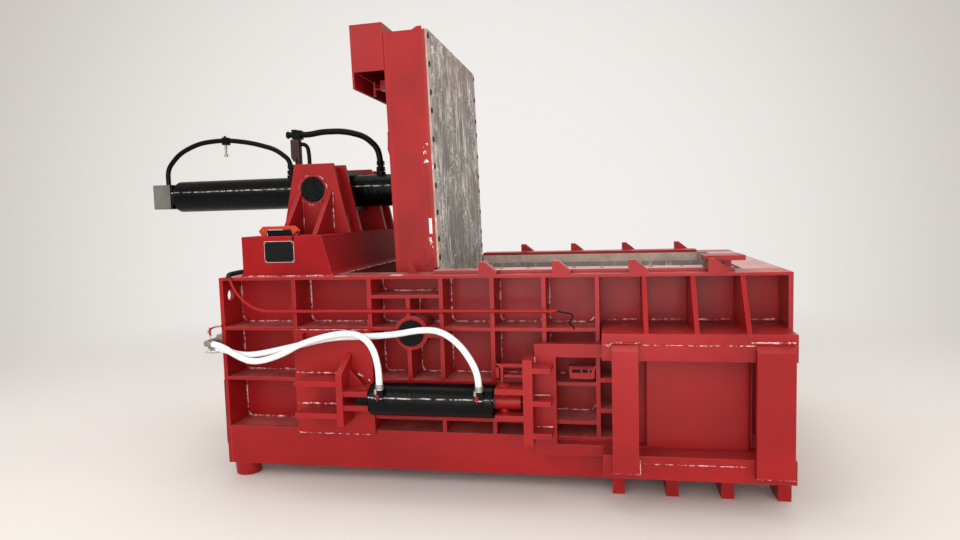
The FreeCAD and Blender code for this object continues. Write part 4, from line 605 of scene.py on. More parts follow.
def wearPlateFinish():
    # plate rubbed bright in long runs and scribbled over, with red rubbed into it near the top
    plan = wearPlate
    finish = Finish("lid_wear_steel")
    up = lidPlace(finish)[1]
    color = finish.clouds(plan, plan["color"], plan["deep"])
    blush = finish.times(finish.ramp(up, *plan["blushRise"]), finish.pattern(*plan["blushPatch"]))
    color = finish.mix(finish.times(blush, plan["blushStrength"]), color, plan["blush"])
    runs = finish.times(finish.pattern(*plan["runs"]), finish.pattern(*plan["runPatch"]))
    color = finish.mix(finish.times(runs, plan["runStrength"]), color, plan["run"])
    for line in plan["scratches"]:
        color = finish.mix(finish.scratches(*line), color, plan["scratch"])
    bend = finish.math("ABSOLUTE", finish.math("SUBTRACT", finish.noise(finish.where, *plan["curls"]), 0.5))
    loop = finish.inverse(finish.ramp(bend, 0.0, plan["curlWidth"]))
    color = finish.mix(finish.times(loop, finish.pattern(*plan["curlPatch"])), color, plan["curl"])
    normal = finish.bump(finish.pattern(*plan["grain"]), plan["bump"], paintDepth,
                         finish.edges(plan["edge"])["Normal"])
    return finish.shade(color, finish.unevenly(plan, plan["roughness"]), normal, plan["gloss"],
                        {"Metallic": plan["metallic"]})


lidBlade = {
    "color": tone(176, 158, 148), "deep": tone(148, 124, 114), "cloud": ((7.0, 6.0, 0.7, 0.4), (0.3, 0.72)),
    "scratch": tone(226, 220, 212), "scratches": (13.0, 0.03, 0.4),
    "paintedBefore": 0.107, "edge": 0.004, "gloss": 0.3,
}


def lidBladeFinish():
    # dull steel face, its two sides painted over with the lid
    plan = lidBlade
    finish = Finish("lid_blade_steel")
    along = lidPlace(finish)[0]
    coat = finish.coat(redValues)
    bare = finish.clouds(plan, plan["color"], plan["deep"])
    bare = finish.mix(finish.scratches(*plan["scratches"]), bare, plan["scratch"])
    color = finish.mix(finish.math("LESS_THAN", along, plan["paintedBefore"]), bare, coat["Color"])
    normal = finish.bump(coat["Height"], redValues["bump"], paintDepth, finish.edges(plan["edge"])["Normal"])
    return finish.shade(color, coat["Roughness"], normal, plan["gloss"])


# bare places on the lid's sides: how far in front of the hinge, how high above it, and how rough the patch is
lidScuffs = {
    "patches": [((0.070, 0.094), (0.540, 0.630), 0.34), ((0.060, 0.092), (0.940, 1.100), 0.56),
                ((0.064, 0.100), (0.400, 0.520), 0.56)],
    "color": tone(234, 226, 220), "torn": ((26.0, 4.0, 0.7, 0.8), None, (1, 1, 0.6)), "softness": 0.04,
}


def addLidScuffs(finish, color):
    plan = lidScuffs
    along, up = lidPlace(finish)
    torn = finish.pattern(*plan["torn"])
    bare = 0.0
    for width, height, roughness in plan["patches"]:
        patch = finish.times(finish.within(along, *width), finish.within(up, *height))
        patch = finish.times(patch, finish.ramp(torn, roughness, roughness + plan["softness"]))
        bare = finish.math("MAXIMUM", patch, bare)
    return finish.mix(bare, color, plan["color"])


lidShellPaint = enamel("lid_shell_enamel", addLidScuffs, color=tone(154, 24, 26), deep=tone(130, 17, 20), coat=0.0)
wearPlateSteel = wearPlateFinish()
lidBladeSteel = lidBladeFinish()
weldBead = weldFinish()

slotFinishes = {
    "red_enamel": redEnamel, "black_paint": blackPaint, "worn_steel": wornSteel, "bare_blade": bareBlade,
    "chrome_rod": chromeRod, "orange_enamel": orangeEnamel, "hose_rubber": hoseRubber,
    "zinc_fitting": zincFitting, "grey_steel": greySteel,
}
ownFinishes = {
    "lid_cylinder": lidTubePaint, "gate_cylinder": gateTubePaint, "blade_holder_near": brightTopPaint,
    "front_end_wall": brightTopPaint, "rear_housing": housingPaint, "near_wall_ribs": wallTopPaint,
    "lid_wear_plate": wearPlateSteel, "lid_shell": lidShellPaint, "lid_blade_near": lidBladeSteel,
    "lid_blade_far": lidBladeSteel, "gate_pin": redEnamel, "gate_mount_pin": redEnamel,
}
for row in frame["record"]["subparts"]:
    nodeMaterials = frame["nodes"][row["node"]].data.materials
    nodeMaterials.clear()
    nodeMaterials.append(ownFinishes.get(row["node"]) or slotFinishes[row["material_slot"]])
print("nodes dressed")


# ways of making a piece

making = {"merge": 0.00001, "sharpAngle": math.radians(32)}


@contextlib.contextmanager
def piece(name, finish, slot="red_enamel", body="frame", replaces=()):
    # gives a mesh to draw in, which becomes an object that rides on its body
    shape = bmesh.new()
    yield shape
    bmesh.ops.remove_doubles(shape, verts=shape.verts, dist=making["merge"])
    bmesh.ops.recalc_face_normals(shape, faces=shape.faces)
    data = bpy.data.meshes.new(name)
    shape.to_mesh(data)
    shape.free()
    data.shade_smooth()
    data.set_sharp_from_angle(angle=making["sharpAngle"])
    item = addObject(name, data)
    data.materials.append(finish)
    item.modifiers.new("flat_faces", "WEIGHTED_NORMAL").keep_sharp = True
    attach(item, body)
    if replaces:
        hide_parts(*replaces)


def finishTube(item, finish, slot="red_enamel", body="frame"):
    item.data.materials.append(finish)
    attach(item, body)


def atPlane(plane, first, second, third):
    return {"XZ": (first, third, second), "YZ": (third, first, second), "XY": (first, second, third)}[plane]


def bevelEdges(shape, verts, width):
    edges = {edge for vert in verts for edge in vert.link_edges}
    bmesh.ops.bevel(shape, geom=list(edges), offset=width, segments=2, profile=0.5, affect="EDGES", material=-1)


def drawOut(shape, faces, way):
    grown = bmesh.ops.extrude_face_region(shape, geom=faces)["geom"]
    moved = [item for item in grown if isinstance(item, bmesh.types.BMVert)]
    bmesh.ops.translate(shape, verts=moved, vec=way)
    return moved


def addBlock(shape, low, high, bevel=0.0):
    low, high = Vector(low), Vector(high)
    place = Matrix.Translation((low + high) / 2) @ Matrix.Diagonal((*(high - low), 1))
    made = bmesh.ops.create_cube(shape, size=1, matrix=place)["verts"]
    if bevel:
        bevelEdges(shape, made, bevel)


def addLoop(shape, plane, points, level):
    corners = [shape.verts.new(atPlane(plane, a, b, level)) for a, b in points]
    return [shape.edges.new((corners[index - 1], corners[index])) for index in range(len(corners))]


def addHoledProfile(shape, plane, points, hole, low, high):
    # an outline with one opening in it, filled between the two and drawn out along the third axis
    edges = addLoop(shape, plane, points, low) + addLoop(shape, plane, hole, low)
    filled = bmesh.ops.triangle_fill(shape, use_beauty=True, use_dissolve=False, edges=edges)["geom"]
    faces = [item for item in filled if isinstance(item, bmesh.types.BMFace)]
    drawOut(shape, faces, atPlane(plane, 0, 0, high - low))


def circle(centre, diameter, sides=48):
    turns = [math.tau * step / sides for step in range(sides)]
    return [(centre[0] + math.cos(turn) * diameter / 2, centre[1] + math.sin(turn) * diameter / 2) for turn in turns]


def addProfile(shape, plane, points, low, high, bevel=0.0):
    # an outline drawn in one plane, drawn out along the third axis
    corners = [shape.verts.new(atPlane(plane, a, b, low)) for a, b in points]
    moved = drawOut(shape, [shape.faces.new(corners)], atPlane(plane, 0, 0, high - low))
    if bevel:
        bevelEdges(shape, corners + moved, bevel)


def addBar(shape, start, end, diameter, sides=28, bevel=0.0, endDiameter=None):
    start, end = Vector(start), Vector(end)
    span = end - start
    place = Matrix.Translation((start + end) / 2) @ span.to_track_quat("Z", "Y").to_matrix().to_4x4()
    made = bmesh.ops.create_cone(shape, cap_ends=True, segments=sides, radius1=diameter / 2,
                                 radius2=(endDiameter or diameter) / 2, depth=span.length, matrix=place)["verts"]
    if bevel:
        rims = {edge for vert in made for edge in vert.link_edges
                if any(len(face.verts) > 4 for face in edge.link_faces)}
        bmesh.ops.bevel(shape, geom=list(rims), offset=bevel, segments=2, profile=0.5, affect="EDGES", material=-1)


def addUpright(shape, x, y, start, end, *rest, **named):
    addBar(shape, (x, y, start), (x, y, end), *rest, **named)


def addRing(shape, start, end, inner, outer, sides=40):
    # a flat-ended ring, spun round its own axis
    start, end = Vector(start), Vector(end)
    along = (end - start).normalized()
    side = along.orthogonal().normalized()
    corners = [shape.verts.new(point + side * reach / 2)
               for point, reach in ((start, inner), (start, outer), (end, outer), (end, inner))]
    edges = [shape.edges.new((corners[index], corners[(index + 1) % 4])) for index in range(4)]
    bmesh.ops.spin(shape, geom=corners + edges, cent=start, axis=along, angle=math.tau, steps=sides,
                   use_merge=True)


# weld beads in the corners of the cells

beads = {
    "radius": 0.0055, "fineRadius": 0.0028, "step": 0.03, "stray": 0.0012, "swell": (0.65, 1.25), "seed": 11,
    "wallFace": -0.764, "corner": 0.028, "cornerShare": 0.35, "inset": 0.004, "topGap": 0.02,
    # cells of the near wall in millimetres: left, right, bottom and top
    "cells": [
        (22, 452, 897, 1169), (474, 903, 897, 1169), (925, 1315, 1079, 1169), (925, 1126, 897, 1061),
        (1148, 1315, 897, 1061), (1337, 1599, 897, 1169), (1621, 1879, 897, 1169), (1901, 2161, 897, 1169),
        (22, 452, 603, 879), (925, 1126, 603, 879), (1148, 1315, 603, 841), (1337, 1599, 603, 879),
        (1621, 1879, 603, 879), (22, 452, 307, 585), (1901, 2161, 603, 879), (1901, 2161, 394, 585),
    ],
    "leaning": [(2183, 2402), (2424, 2645), (2667, 2888), (2910, 3119)],
    "leaningPlace": (-0.768, 0.914), "leaningInset": (0.012, 0.02),
    # round the mounting pad, its ribs and web, and along the foot of the rear housing
    "frame": [
        [(0.474, -0.993, 0.640), (0.772, -0.993, 0.640)], [(0.474, -0.993, 0.463), (0.772, -0.993, 0.463)],
        [(0.835, -0.993, 0.640), (0.868, -0.993, 0.622)], [(0.898, -0.993, 0.606), (0.924, -0.993, 0.574)],
        [(0.11, -0.914, 1.187), (0.69, -0.914, 1.187)], [(0.696, -0.90, 1.187), (0.696, 0.90, 1.187)],
        [(2.222, -1.167, 0.838), (2.238, -1.167, 0.856), (2.384, -1.167, 0.856), (2.398, -1.167, 0.846)],
        [(2.906, -1.167, 0.862), (3.108, -1.167, 0.862)],
    ],
    "fine": [
        [(0.462, -0.992, 0.887), (0.924, -0.992, 0.887)], [(0.470, -0.992, 0.289), (0.910, -0.992, 0.289)],
        [(2.40, -1.165, 0.244), (2.88, -1.165, 0.244)], [(2.245, -1.166, 0.187), (2.380, -1.166, 0.187)],
        [(2.378, -1.166, 0.192), (2.378, -1.166, 0.262)], [(2.93, -1.166, 0.187), (3.110, -1.166, 0.187)],
        [(2.20, -1.165, 0.846), (3.11, -1.165, 0.846)], [(3.102, -1.166, 0.20), (3.102, -1.166, 0.84)],
    ],
    "gate": [
        [(1.842, -1.033, 0.675), (1.935, -1.033, 0.675)], [(1.842, -1.033, 0.548), (1.935, -1.033, 0.548)],
        [(1.842, -1.033, 0.376), (1.935, -1.033, 0.376)], [(1.842, -1.033, 0.718), (1.842, -1.033, 0.755)],
        [(1.70, -1.085, 0.523), (1.785, -1.085, 0.523)],
    ],
}


def wobble(start, end):
    # points along a straight bead, a little uneven as a hand-laid weld is
    start, end = Vector(start), Vector(end)
    count = max(2, round((end - start).length / beads["step"]))
    for index in range(count + 1):
        shift = Vector([random.uniform(-beads["stray"], beads["stray"]) for axis in range(3)])
        yield start.lerp(end, index / count) + shift


def beadCurve(name, lines, radius, body="frame"):
    data = bpy.data.curves.new(name, "CURVE")
    data.dimensions = "3D"
    data.bevel_depth = radius
    data.bevel_resolution = 1
    data.use_fill_caps = True
    for line in lines:
        points = [point for start, end in zip(line, line[1:]) for point in wobble(start, end)]
        spline = data.splines.new("POLY")
        spline.points.add(len(points) - 1)
        for target, place in zip(spline.points, points):
            target.co = (*place, 1)
            target.radius = random.uniform(*beads["swell"])
    finishTube(addObject(name, data), weldBead, body=body)


def cellLine(left, right, low, high):
    # down the left side, round the corner, along the bottom and a little way up the right side
    wall, corner, inset = beads["wallFace"], beads["corner"], beads["inset"]
    share = corner * beads["cornerShare"]
    left, right, low = left + inset, right - inset, low + inset
    return [(left, wall, high - beads["topGap"]), (left, wall, low + corner), (left + share, wall, low + share),
            (left + corner, wall, low), (right - corner, wall, low), (right, wall, low + corner)]


def addWelds():
    random.seed(beads["seed"])
    lines = [cellLine(*(value / 1000 for value in cell)) for cell in beads["cells"]]
    start, stop = beads["leaningInset"]
    for left, right in beads["leaning"]:
        lines.append([(left / 1000 + start, *beads["leaningPlace"]), (right / 1000 - stop, *beads["leaningPlace"])])
    beadCurve("frame_weld_beads", lines + beads["frame"], beads["radius"])
    beadCurve("frame_fine_beads", beads["fine"], beads["fineRadius"])
    beadCurve("gate_weld_beads", beads["gate"], beads["radius"], "gate")


addWelds()
print("welds laid")


foot = {"diameter": 0.154, "middle": (0.077, 0.882), "height": 0.085, "taper": 0.004, "rim": 0.009, "sides": 48}


def addFeet():
    for side, name in ((-1, "near"), (1, "far")):
        with piece("round_foot_drum_" + name, redEnamel, replaces=["round_foot_" + name]) as shape:
            addUpright(shape, foot["middle"][0], foot["middle"][1] * side, 0, foot["height"],
                       foot["diameter"] - foot["taper"] * 2, foot["sides"], foot["rim"], foot["diameter"])


addFeet()


# lifting handle and blank plate on the rear housing

handle = {
    "start": 0.207, "end": 0.466, "low": 1.418, "high": 1.476, "tip": 1.448, "foot": 0.020, "head": 0.027,
    "slot": (0.250, 0.424), "slotHead": 0.014, "slotHigh": 1.456, "front": -0.858, "back": -0.844, "bevel": 0.002,
    "bolts": (0.03, 0.028), "boltDrop": 0.004, "boltStand": 0.006, "boltDiameter": 0.016,
    "backing": ((0.252, -0.838, 1.4185), (0.426, -0.78, 1.452)), "backingBevel": 0.003,
    "cable": [(0.452, -0.852, 1.446), (0.462, -0.872, 1.440), (0.452, -0.905, 1.424), (0.448, -0.915, 1.410),
              (0.446, -0.915, 1.390)], "cableDiameter": 0.007,
}


def addHandle():
    plan = handle
    start, end, low, high, tip = (plan[label] for label in ("start", "end", "low", "high", "tip"))
    slotLeft, slotRight = plan["slot"]
    with piece("lifting_handle", orangeEnamel, "orange_enamel", replaces=["handle_plate"]) as shape:
        addProfile(shape, "XZ", [
            (start + plan["foot"], low), (slotLeft, low), (slotLeft + plan["slotHead"], plan["slotHigh"]),
            (slotRight - plan["slotHead"], plan["slotHigh"]), (slotRight, low), (end - plan["foot"], low),
            (end, tip), (end - plan["head"], high), (start + plan["head"], high), (start, tip),
        ], plan["front"], plan["back"], plan["bevel"])
        height = tip - plan["boltDrop"]
        for x in (start + plan["bolts"][0], end - plan["bolts"][1]):
            addBar(shape, (x, plan["front"] - plan["boltStand"], height), (x, plan["front"] + 0.002, height),
                   plan["boltDiameter"], 6, 0.001)
    with piece("handle_backing", boltBlack, "black_paint") as shape:
        addBlock(shape, *plan["backing"], plan["backingBevel"])
    finishTube(smoothTube("plate_cable", plan["cable"], plan["cableDiameter"]), boltBlack, "black_paint")


blankPlate = {
    "sides": (0.266, 0.450, 1.266, 1.390), "face": -0.910, "corner": 0.009, "border": 0.003, "thick": 0.0015,
    "stand": 0.001, "screwInset": 0.009, "screwStand": 0.004, "screwDiameter": 0.008,
}


def addRoundedPlate(shape, left, right, low, high, face, depth, corner):
    # a thin plate standing out from a wall, its four corners rounded
    made = [shape.verts.new((x, face, z)) for x, z in ((left, low), (right, low), (right, high), (left, high))]
    shape.faces.new(made)
    bmesh.ops.bevel(shape, geom=made, offset=corner, segments=5, profile=0.5, affect="VERTICES", material=-1)
    base = max((item for item in shape.faces if abs(item.calc_center_median().y - face) < making["merge"]),
               key=lambda item: item.calc_area())
    drawOut(shape, [base], (0, -depth, 0))


def addBlankPlate():
    plan = blankPlate
    left, right, low, high = plan["sides"]
    face, edge, inset = plan["face"], plan["border"], plan["screwInset"]
    with piece("blank_plate_border", paleTrim, "zinc_fitting") as shape:
        addRoundedPlate(shape, left, right, low, high, face, plan["thick"], plan["corner"])
    with piece("blank_plate", plateBlack, "black_paint") as shape:
        addRoundedPlate(shape, left + edge, right - edge, low + edge, high - edge, face - plan["stand"],
                        plan["thick"], plan["corner"] - edge)
    with piece("blank_plate_screws", zincFitting, "zinc_fitting") as shape:
        for x in (left + inset, right - inset):
            for z in (low + inset, high - inset):
                addBar(shape, (x, face, z), (x, face - plan["screwStand"], z), plan["screwDiameter"], 12, 0.001)


addHandle()
addBlankPlate()
print("handle and plate made")


# supports of the lid cylinder

support = {
    "middle": 0.401, "low": 1.418, "high": 1.860, "bottomHalf": 0.225, "topHalf": 0.129,
    "inner": 0.245, "outer": 0.473, "plate": 0.025, "recess": 0.038, "topRecess": 0.012, "overlap": 0.001,
    "pin": (0.392, 1.697), "hole": 0.1640, "ring": 0.190, "ringStand": 0.0085,
    "gussetRise": 0.274, "gussetReach": 0.270, "gussetPlate": 0.030, "gussets": (0.301, 0.504), "bevel": 0.002,
    "ringBead": 0.097, "ringBeadSteps": 26, "ringBeadStand": 0.003, "gussetBead": 0.019, "gussetBeadStand": 0.002,
    "gussetBeadRise": (0.03, 0.26), "seed": 23,
}


def addSupport(side, name):
    plan = support
    middle, low, high, lap = plan["middle"], plan["low"], plan["high"], plan["overlap"]
    inner, outer, thick, (pinX, pinZ) = plan["inner"], plan["outer"], plan["plate"], plan["pin"]

    def trapezoid(inset, top):
        return [(middle - plan["bottomHalf"] + inset, low), (middle + plan["bottomHalf"] - inset, low),
                (middle + plan["topHalf"] - inset, top), (middle - plan["topHalf"] + inset, top)]

    def spanOf(near, far):
        return sorted((near * side, far * side))

    def addPlate(shape, inset, top, near, far):
        addHoledProfile(shape, "XZ", trapezoid(inset, top), circle(plan["pin"], plan["hole"]), *spanOf(near, far))

    with piece("support_inner_" + name, redEnamel) as shape:
        addPlate(shape, 0, high, inner, inner + thick)
    with piece("support_outer_" + name, redEnamel, replaces=["trunnion_support_" + name]) as shape:
        addPlate(shape, 0, high, outer - thick, outer)
    # the closed box between the two plates, set back from their edges
    with piece("support_box_" + name, redEnamel) as shape:
        addPlate(shape, plan["recess"], high - plan["topRecess"], inner + thick - lap, outer - thick + lap)
    with piece("support_ring_" + name, redEnamel) as shape:
        start, end = spanOf(outer - lap, outer + plan["ringStand"])
        addRing(shape, (pinX, start, pinZ), (pinX, end, pinZ), plan["hole"], plan["ring"])
    with piece("support_gussets_" + name, redEnamel) as shape:
        rise, root, half = low + plan["gussetRise"], (outer - lap) * side, plan["gussetPlate"] / 2
        for x in plan["gussets"]:
            points = [(root, low), ((outer + plan["gussetReach"]) * side, low), (outer * side, rise), (root, rise)]
            addProfile(shape, "YZ", points, x - half, x + half, plan["bevel"])


def addSupportBeads():
    # round the near journal's ring and beside the gussets' roots
    plan = support
    (x, z), reach = plan["pin"], plan["ringBead"]
    turns = [math.tau * step / plan["ringBeadSteps"] for step in range(plan["ringBeadSteps"] + 1)]
    lines = [[(x + math.cos(turn) * reach, -plan["outer"] - plan["ringBeadStand"], z + math.sin(turn) * reach)
              for turn in turns]]
    for x in plan["gussets"]:
        lines.append([(x + plan["gussetBead"], -plan["outer"] - plan["gussetBeadStand"], plan["low"] + rise)
                      for rise in plan["gussetBeadRise"]])
    beadCurve("support_weld_beads", lines, beads["fineRadius"])


random.seed(support["seed"])
addSupport(-1, "near")
addSupportBeads()
addSupport(1, "far")
print("supports made")


# pipe that curves down from the flange, and the hose's end beside it

flangePipes = {
    "bend": [(0.072, -0.981, 1.200), (0.086, -0.981, 1.140), (0.138, -0.981, 1.066), (0.202, -0.981, 1.016),
             (0.262, -0.981, 0.996), (0.300, -0.980, 0.990)], "bendDiameter": 0.016,
    "hose": [(0.122, -0.862, 1.214), (0.096, -0.884, 1.212), (0.074, -0.926, 1.207), (0.066, -0.966, 1.204),
             (0.070, -0.982, 1.194), (0.0715, -0.982, 1.184)], "hoseDiameter": 0.028,
}
finishTube(smoothTube("side_pipe_bend", flangePipes["bend"], flangePipes["bendDiameter"]), redEnamel)
finishTube(smoothTube("flange_hose", flangePipes["hose"], flangePipes["hoseDiameter"]), hoseRubber, "hose_rubber")


# bolts in the lid's blades and in the holder of the fixed blade

lidBolts = {"heights": (1.675, 1.515, 1.354, 1.250, 1.085, 0.931, 0.820, 0.662, 0.507, 0.399), "row": 0.685,
            "diameter": 0.034, "stand": 0.003, "sunk": 0.002}
holderBolts = {"places": (1.372, 1.485, 1.637, 1.789, 2.045, 2.197, 2.350, 2.458, 2.62), "row": -0.775,
               "top": 1.205, "diameter": 0.022, "stand": 0.0015, "sunk": 0.002}


def addBolts():
    plan = lidBolts
    back, front = lid["front"] - plan["sunk"], lid["front"] + plan["stand"]
    with piece("lid_blade_bolts", boltBlack, "grey_steel", "lid") as shape:
        for height in plan["heights"]:
            for y in (-plan["row"], plan["row"]):
                addBar(shape, onLid(back, y, height), onLid(front, y, height), plan["diameter"], 20)
    plan = holderBolts
    with piece("blade_holder_bolts", boltBlack, "grey_steel") as shape:
        for x in plan["places"]:
            addUpright(shape, x, plan["row"], plan["top"] - plan["sunk"], plan["top"] + plan["stand"],
                       plan["diameter"], 20)


addBolts()


# fittings on the lid cylinder's pipes; a bar is start, end, diameter, sides and bevel

pipeFittings = {
    "clamp": ((-0.491, -0.026, 2.058), (-0.449, 0.026, 2.112), 0.004),
    # the clamp's screw and the cross fitting on the bracket plate
    "bars": [
        ((-0.478, 0, 2.108), (-0.478, 0, 2.124), 0.016, 6, 0.001),
        ((0.008, 0, 2.106), (0.112, 0, 2.106), 0.040, 24, 0.003),
        ((0.004, 0, 2.106), (0.022, 0, 2.106), 0.052, 6, 0.002),
        ((0.098, 0, 2.106), (0.120, 0, 2.106), 0.054, 6, 0.002),
        ((0.062, 0, 2.080), (0.062, 0, 2.139), 0.036, 24, 0.002),
        ((0.062, 0, 2.126), (0.062, 0, 2.141), 0.046, 6, 0.002),
    ],
    # where the pipes meet the tube, their diameters, and the nuts there: heights, how much wider, and sides
    "pipes": ((0.022, 0.034), (0.688, 0.042), (0.164, 0.028)),
    "nuts": ((1.800, 1.824, 0.024, 24), (1.828, 1.858, 0.020, 6), (1.868, 1.898, 0.014, 6)), "nutBevel": 0.002,
    "stub": {"x": -0.474, "neck": (2.060, 1.990, 0.020, 28, 0.001, 0.014), "end": (1.992, 1.974, 0.026, 28, 0.002)},
    "bracket": [(0.040, 2.070), (0.040, 1.944), (0.058, 1.916), (0.074, 1.916), (0.078, 1.936), (0.088, 1.936),
                (0.090, 1.912), (0.103, 1.912), (0.103, 2.070)], "bracketSides": (-0.030, -0.022, 0.001),
}


def addPipeFittings():
    plan = pipeFittings
    with piece("pipe_fittings", blackPaint, "black_paint", "lid_cylinder") as shape:
        addBlock(shape, *plan["clamp"])
        for bar in plan["bars"]:
            addBar(shape, *bar)
        for x, diameter in plan["pipes"]:
            for low, high, wider, sides in plan["nuts"]:
                addUpright(shape, x, 0, low, high, diameter + wider, sides, plan["nutBevel"])
    with piece("pipe_clamp_stub", zincFitting, "zinc_fitting", "lid_cylinder") as shape:
        for part in ("neck", "end"):
            addUpright(shape, plan["stub"]["x"], 0, *plan["stub"][part])
    with piece("pipe_bracket_plate", brownPaint, "black_paint", "lid_cylinder") as shape:
        addProfile(shape, "XZ", plan["bracket"], *plan["bracketSides"])


addPipeFittings()
print("fittings made")


# small plates on the frame; after an outline come the two levels that it is drawn out between

smallPlates = {
    "slopeFoot": ([(0.678, 1.190), (0.690, 1.190), (0.752, 0.985), (0.740, 0.985)], -0.715, 0.715),
    "stop": ([(1.096, 1.184), (1.152, 1.184), (1.116, 1.240), (1.104, 1.244)], -0.802, -0.788, 0.001),
    "outletStrip": ((2.300, -0.968, 0.268), (2.4385, -0.958, 0.752)),
    "rearStrip": ((-0.010, -0.962, 0.197), (0.001, -0.925, 0.581), 0.002),
    "shimTop": ([(2.690, -0.770), (2.760, -0.735), (2.800, -0.760), (2.770, -0.800), (2.735, -0.790)], 1.246, 1.250),
    "shimSide": ([(2.728, 1.204), (2.764, 1.204), (2.762, 1.248), (2.705, 1.250)], -0.800, -0.796),
}


def addSmallPlates():
    plan = smallPlates
    # the housing's slope goes on down between the chamber's walls
    with piece("housing_slope_foot", housingPaint) as shape:
        addProfile(shape, "XZ", *plan["slopeFoot"])
    # pointed stop on the flange beside the lid, plain strip beside the outlet
    with piece("wall_small_plates", redEnamel) as shape:
        addProfile(shape, "XZ", *plan["stop"])
        addBlock(shape, *plan["outletStrip"])
    with piece("rear_strip", boltBlack, "black_paint") as shape:
        addBlock(shape, *plan["rearStrip"])
    # torn shim beside the limit bracket
    with piece("torn_shim", greySteel, "grey_steel") as shape:
        addProfile(shape, "XY", *plan["shimTop"])
        addProfile(shape, "XZ", *plan["shimSide"])


bracket = {
    "sides": (2.020, 2.162, 0.622, 0.690), "face": -0.958, "depth": 0.010, "corner": 0.014, "step": 0.008,
    "lip": 0.012, "back": -0.90, "slots": ((2.034, 0.046), (2.088, 0.030), (2.128, 0.010)),
    "slotHeights": (0.034, 0.052), "slotDepths": (0.0112, 0.008), "bevel": 0.001,
    "wire": [(1.958, -0.980, 0.990), (1.992, -0.986, 0.984), (2.052, -0.988, 0.974), (2.030, -0.986, 0.938),
             (2.022, -0.982, 0.926), (2.046, -0.976, 0.908), (2.050, -0.969, 0.892)], "wireDiameter": 0.008,
}


def addSlottedBracket():
    # a box with rounded lower corners and two slots, held by the rib beside it; the slots are flat black blocks on
    # its face, a painted shade of their insides
    plan = bracket
    left, right, low, high = plan["sides"]
    face, depth = plan["face"], plan["depth"]
    with piece("slotted_bracket", redEnamel) as shape:
        addRoundedPlate(shape, left, right - plan["step"], low, high, face, depth, plan["corner"])
        addBlock(shape, (left, face - depth, high - plan["lip"]), (right, plan["back"], high), plan["bevel"])
    # painted shade: flat black blocks stand for the slots' dark insides
    with piece("bracket_slots", boltBlack, "black_paint") as shape:
        (bottom, top), (front, back) = plan["slotHeights"], plan["slotDepths"]
        for x, wide in plan["slots"]:
            addBlock(shape, (x, face - front, low + bottom), (x + wide, face - back, low + top), plan["bevel"])
    finishTube(smoothTube("wall_wire", plan["wire"], plan["wireDiameter"]), boltBlack, "black_paint")


paintMarks = {
    "levels": (1.1848, 1.1856),
    "outlines": [
        [(0.697, -0.930), (0.716, -0.918), (0.734, -0.924), (0.748, -0.904), (0.778, -0.932), (0.792, -0.952),
         (0.760, -0.948), (0.728, -0.962), (0.704, -0.950)],
        [(1.022, -0.880), (1.046, -0.858), (1.088, -0.872), (1.104, -0.930), (1.094, -0.958), (1.050, -0.944),
         (1.034, -0.956), (1.028, -0.912)],
    ],
}


def addPaintMarks():
    # painted glare: pale patches on the flange's top, standing for light reflected there
    with piece("flange_paint_marks", wirePale) as shape:
        for outline in paintMarks["outlines"]:
            addProfile(shape, "XY", outline, *paintMarks["levels"])


addSmallPlates()
addSlottedBracket()
addPaintMarks()


# wires behind the rear end: finish, slot, diameter and route

rearWires = {
    "rear_wire_pale": (wirePale, "zinc_fitting", 0.009, [
        (-0.040, -1.020, 0.838), (-0.056, -1.022, 0.862), (-0.062, -1.020, 0.892), (-0.036, -1.012, 0.910),
        (0.004, -0.985, 0.908)]),
    "rear_wire_low": (wirePale, "zinc_fitting", 0.009, [
        (-0.028, -1.050, 0.780), (-0.058, -1.050, 0.772), (-0.064, -1.045, 0.760), (-0.030, -1.020, 0.750),
        (0.004, -0.975, 0.755)]),
    "rear_wire_red": (redEnamel, "red_enamel", 0.014, [
        (-0.050, -1.010, 0.850), (-0.058, -1.008, 0.884), (-0.036, -1.000, 0.902), (-0.010, -0.985, 0.906),
        (0.004, -0.972, 0.904)]),
}
for wire, (wireFinish, wireSlot, wireDiameter, wireRoute) in rearWires.items():
    finishTube(smoothTube(wire, wireRoute, wireDiameter, 3), wireFinish, wireSlot)


# the door in the gate, the gate's keeper and rod, and the cylinder's fittings

door = {
    "panel": ((2.414, -1.034, 0.281), (2.915, -0.985, 0.753), 0.011),
    "keeper": [((1.636, -1.052, 0.698), (1.790, -1.030, 0.716)), ((1.636, -1.052, 0.640), (1.652, -1.030, 0.712)),
               ((1.660, -1.056, 0.600), (1.676, -1.034, 0.700)), ((1.684, -1.085, 0.652), (1.790, -1.030, 0.664))],
    "bevel": 0.002,
    "rod": ((1.035, -1.080, 0.523), (1.670, -1.080, 0.523), 0.079, 40, 0.002),
    "sleeve": ((1.6355, -1.080, 0.523), (1.774, -1.080, 0.523), 0.084, 40, 0.002),
}


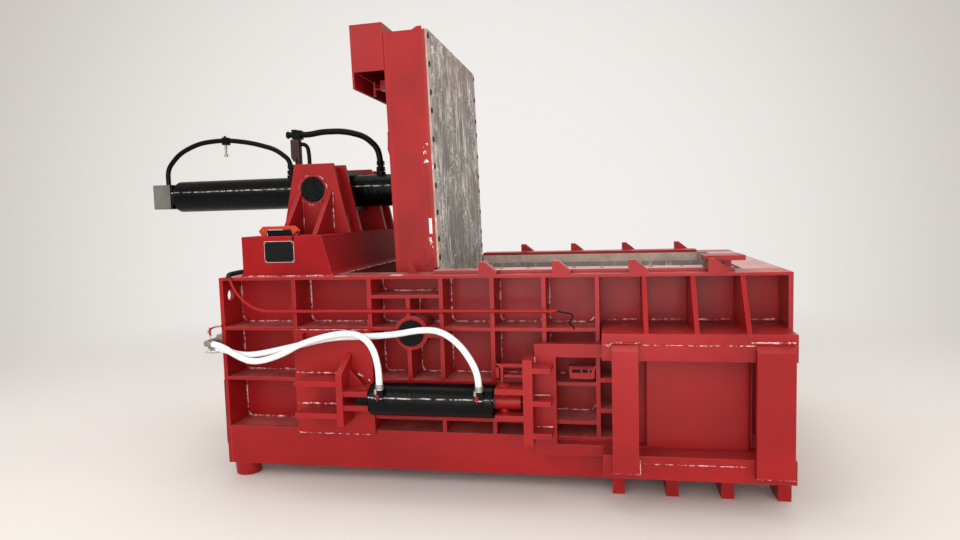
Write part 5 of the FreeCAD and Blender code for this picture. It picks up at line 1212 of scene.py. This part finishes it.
def addDoor():
    with piece("door_panel", redEnamel, body="gate") as shape:
        addBlock(shape, *door["panel"])
    with piece("gate_keeper", redEnamel, body="gate") as shape:
        for low, high in door["keeper"]:
            addBlock(shape, low, high, door["bevel"])
    with piece("gate_rod_bar", chromeRod, "chrome_rod", "gate", ["gate_rod"]) as shape:
        addBar(shape, *door["rod"])
    with piece("gate_rod_sleeve", redEnamel, body="gate") as shape:
        addBar(shape, *door["sleeve"])


# a bar or plug at a port is its shift from the hose, start, end, diameter, sides, bevel and end diameter
hoseFittings = {
    "places": (1.0215, 1.5625), "y": -1.163, "hole": 0.0352, "collar": (0.598, 0.622, 0.046),
    "collarBolt": (-0.018, -0.012, 0.572, 0.600, 0.020, 12, 0.001),
    "plug": (-0.010, -0.014, 0.536, 0.570, 0.012, 14, 0.002, 0.026),
    "tie": (0.846, -1.0635, 0.8835), "tieHalf": (0.002, 0.001, 0.0005), "tieDiameter": 0.0385,
    "tieKnot": ((-0.006, -0.026, -0.020), (0.006, -0.016, -0.004), 0.002),
    "tabs": [((0.520, -1.035, 0.812), (0.532, -0.968, 0.872), 0.003),
             ((0.893, -1.010, 0.846), (0.925, -0.968, 0.876), 0.004)],
    "tabBolt": ((0.900, -0.990, 0.800), (0.900, -0.968, 0.800), 0.020, 14, 0.002),
}


def addHoseFittings():
    plan = hoseFittings
    y, (low, high, wide) = plan["y"], plan["collar"]
    with piece("hose_collars", zincFitting, "zinc_fitting") as shape:
        for x in plan["places"]:
            addRing(shape, (x, y, low), (x, y, high), plan["hole"], wide)
            across, out, *bolt = plan["collarBolt"]
            addUpright(shape, x + across, y + out, *bolt)
    with piece("hose_plugs", redEnamel) as shape:
        for x in plan["places"]:
            across, out, *plug = plan["plug"]
            addUpright(shape, x + across, y + out, *plug)
    with piece("hose_tie", wirePale, "hose_rubber") as shape:
        x, y, z = plan["tie"]
        along, out, down = plan["tieHalf"]
        addRing(shape, (x - along, y, z), (x + along, y - out, z - down), plan["hole"], plan["tieDiameter"])
        near, far, bevel = plan["tieKnot"]
        addBlock(shape, Vector(plan["tie"]) + Vector(near), Vector(plan["tie"]) + Vector(far), bevel)
    with piece("pad_tabs", redEnamel) as shape:
        for tab in plan["tabs"]:
            addBlock(shape, *tab)
        addBar(shape, *plan["tabBolt"])


addDoor()
addHoseFittings()
print("door and gate fittings made")
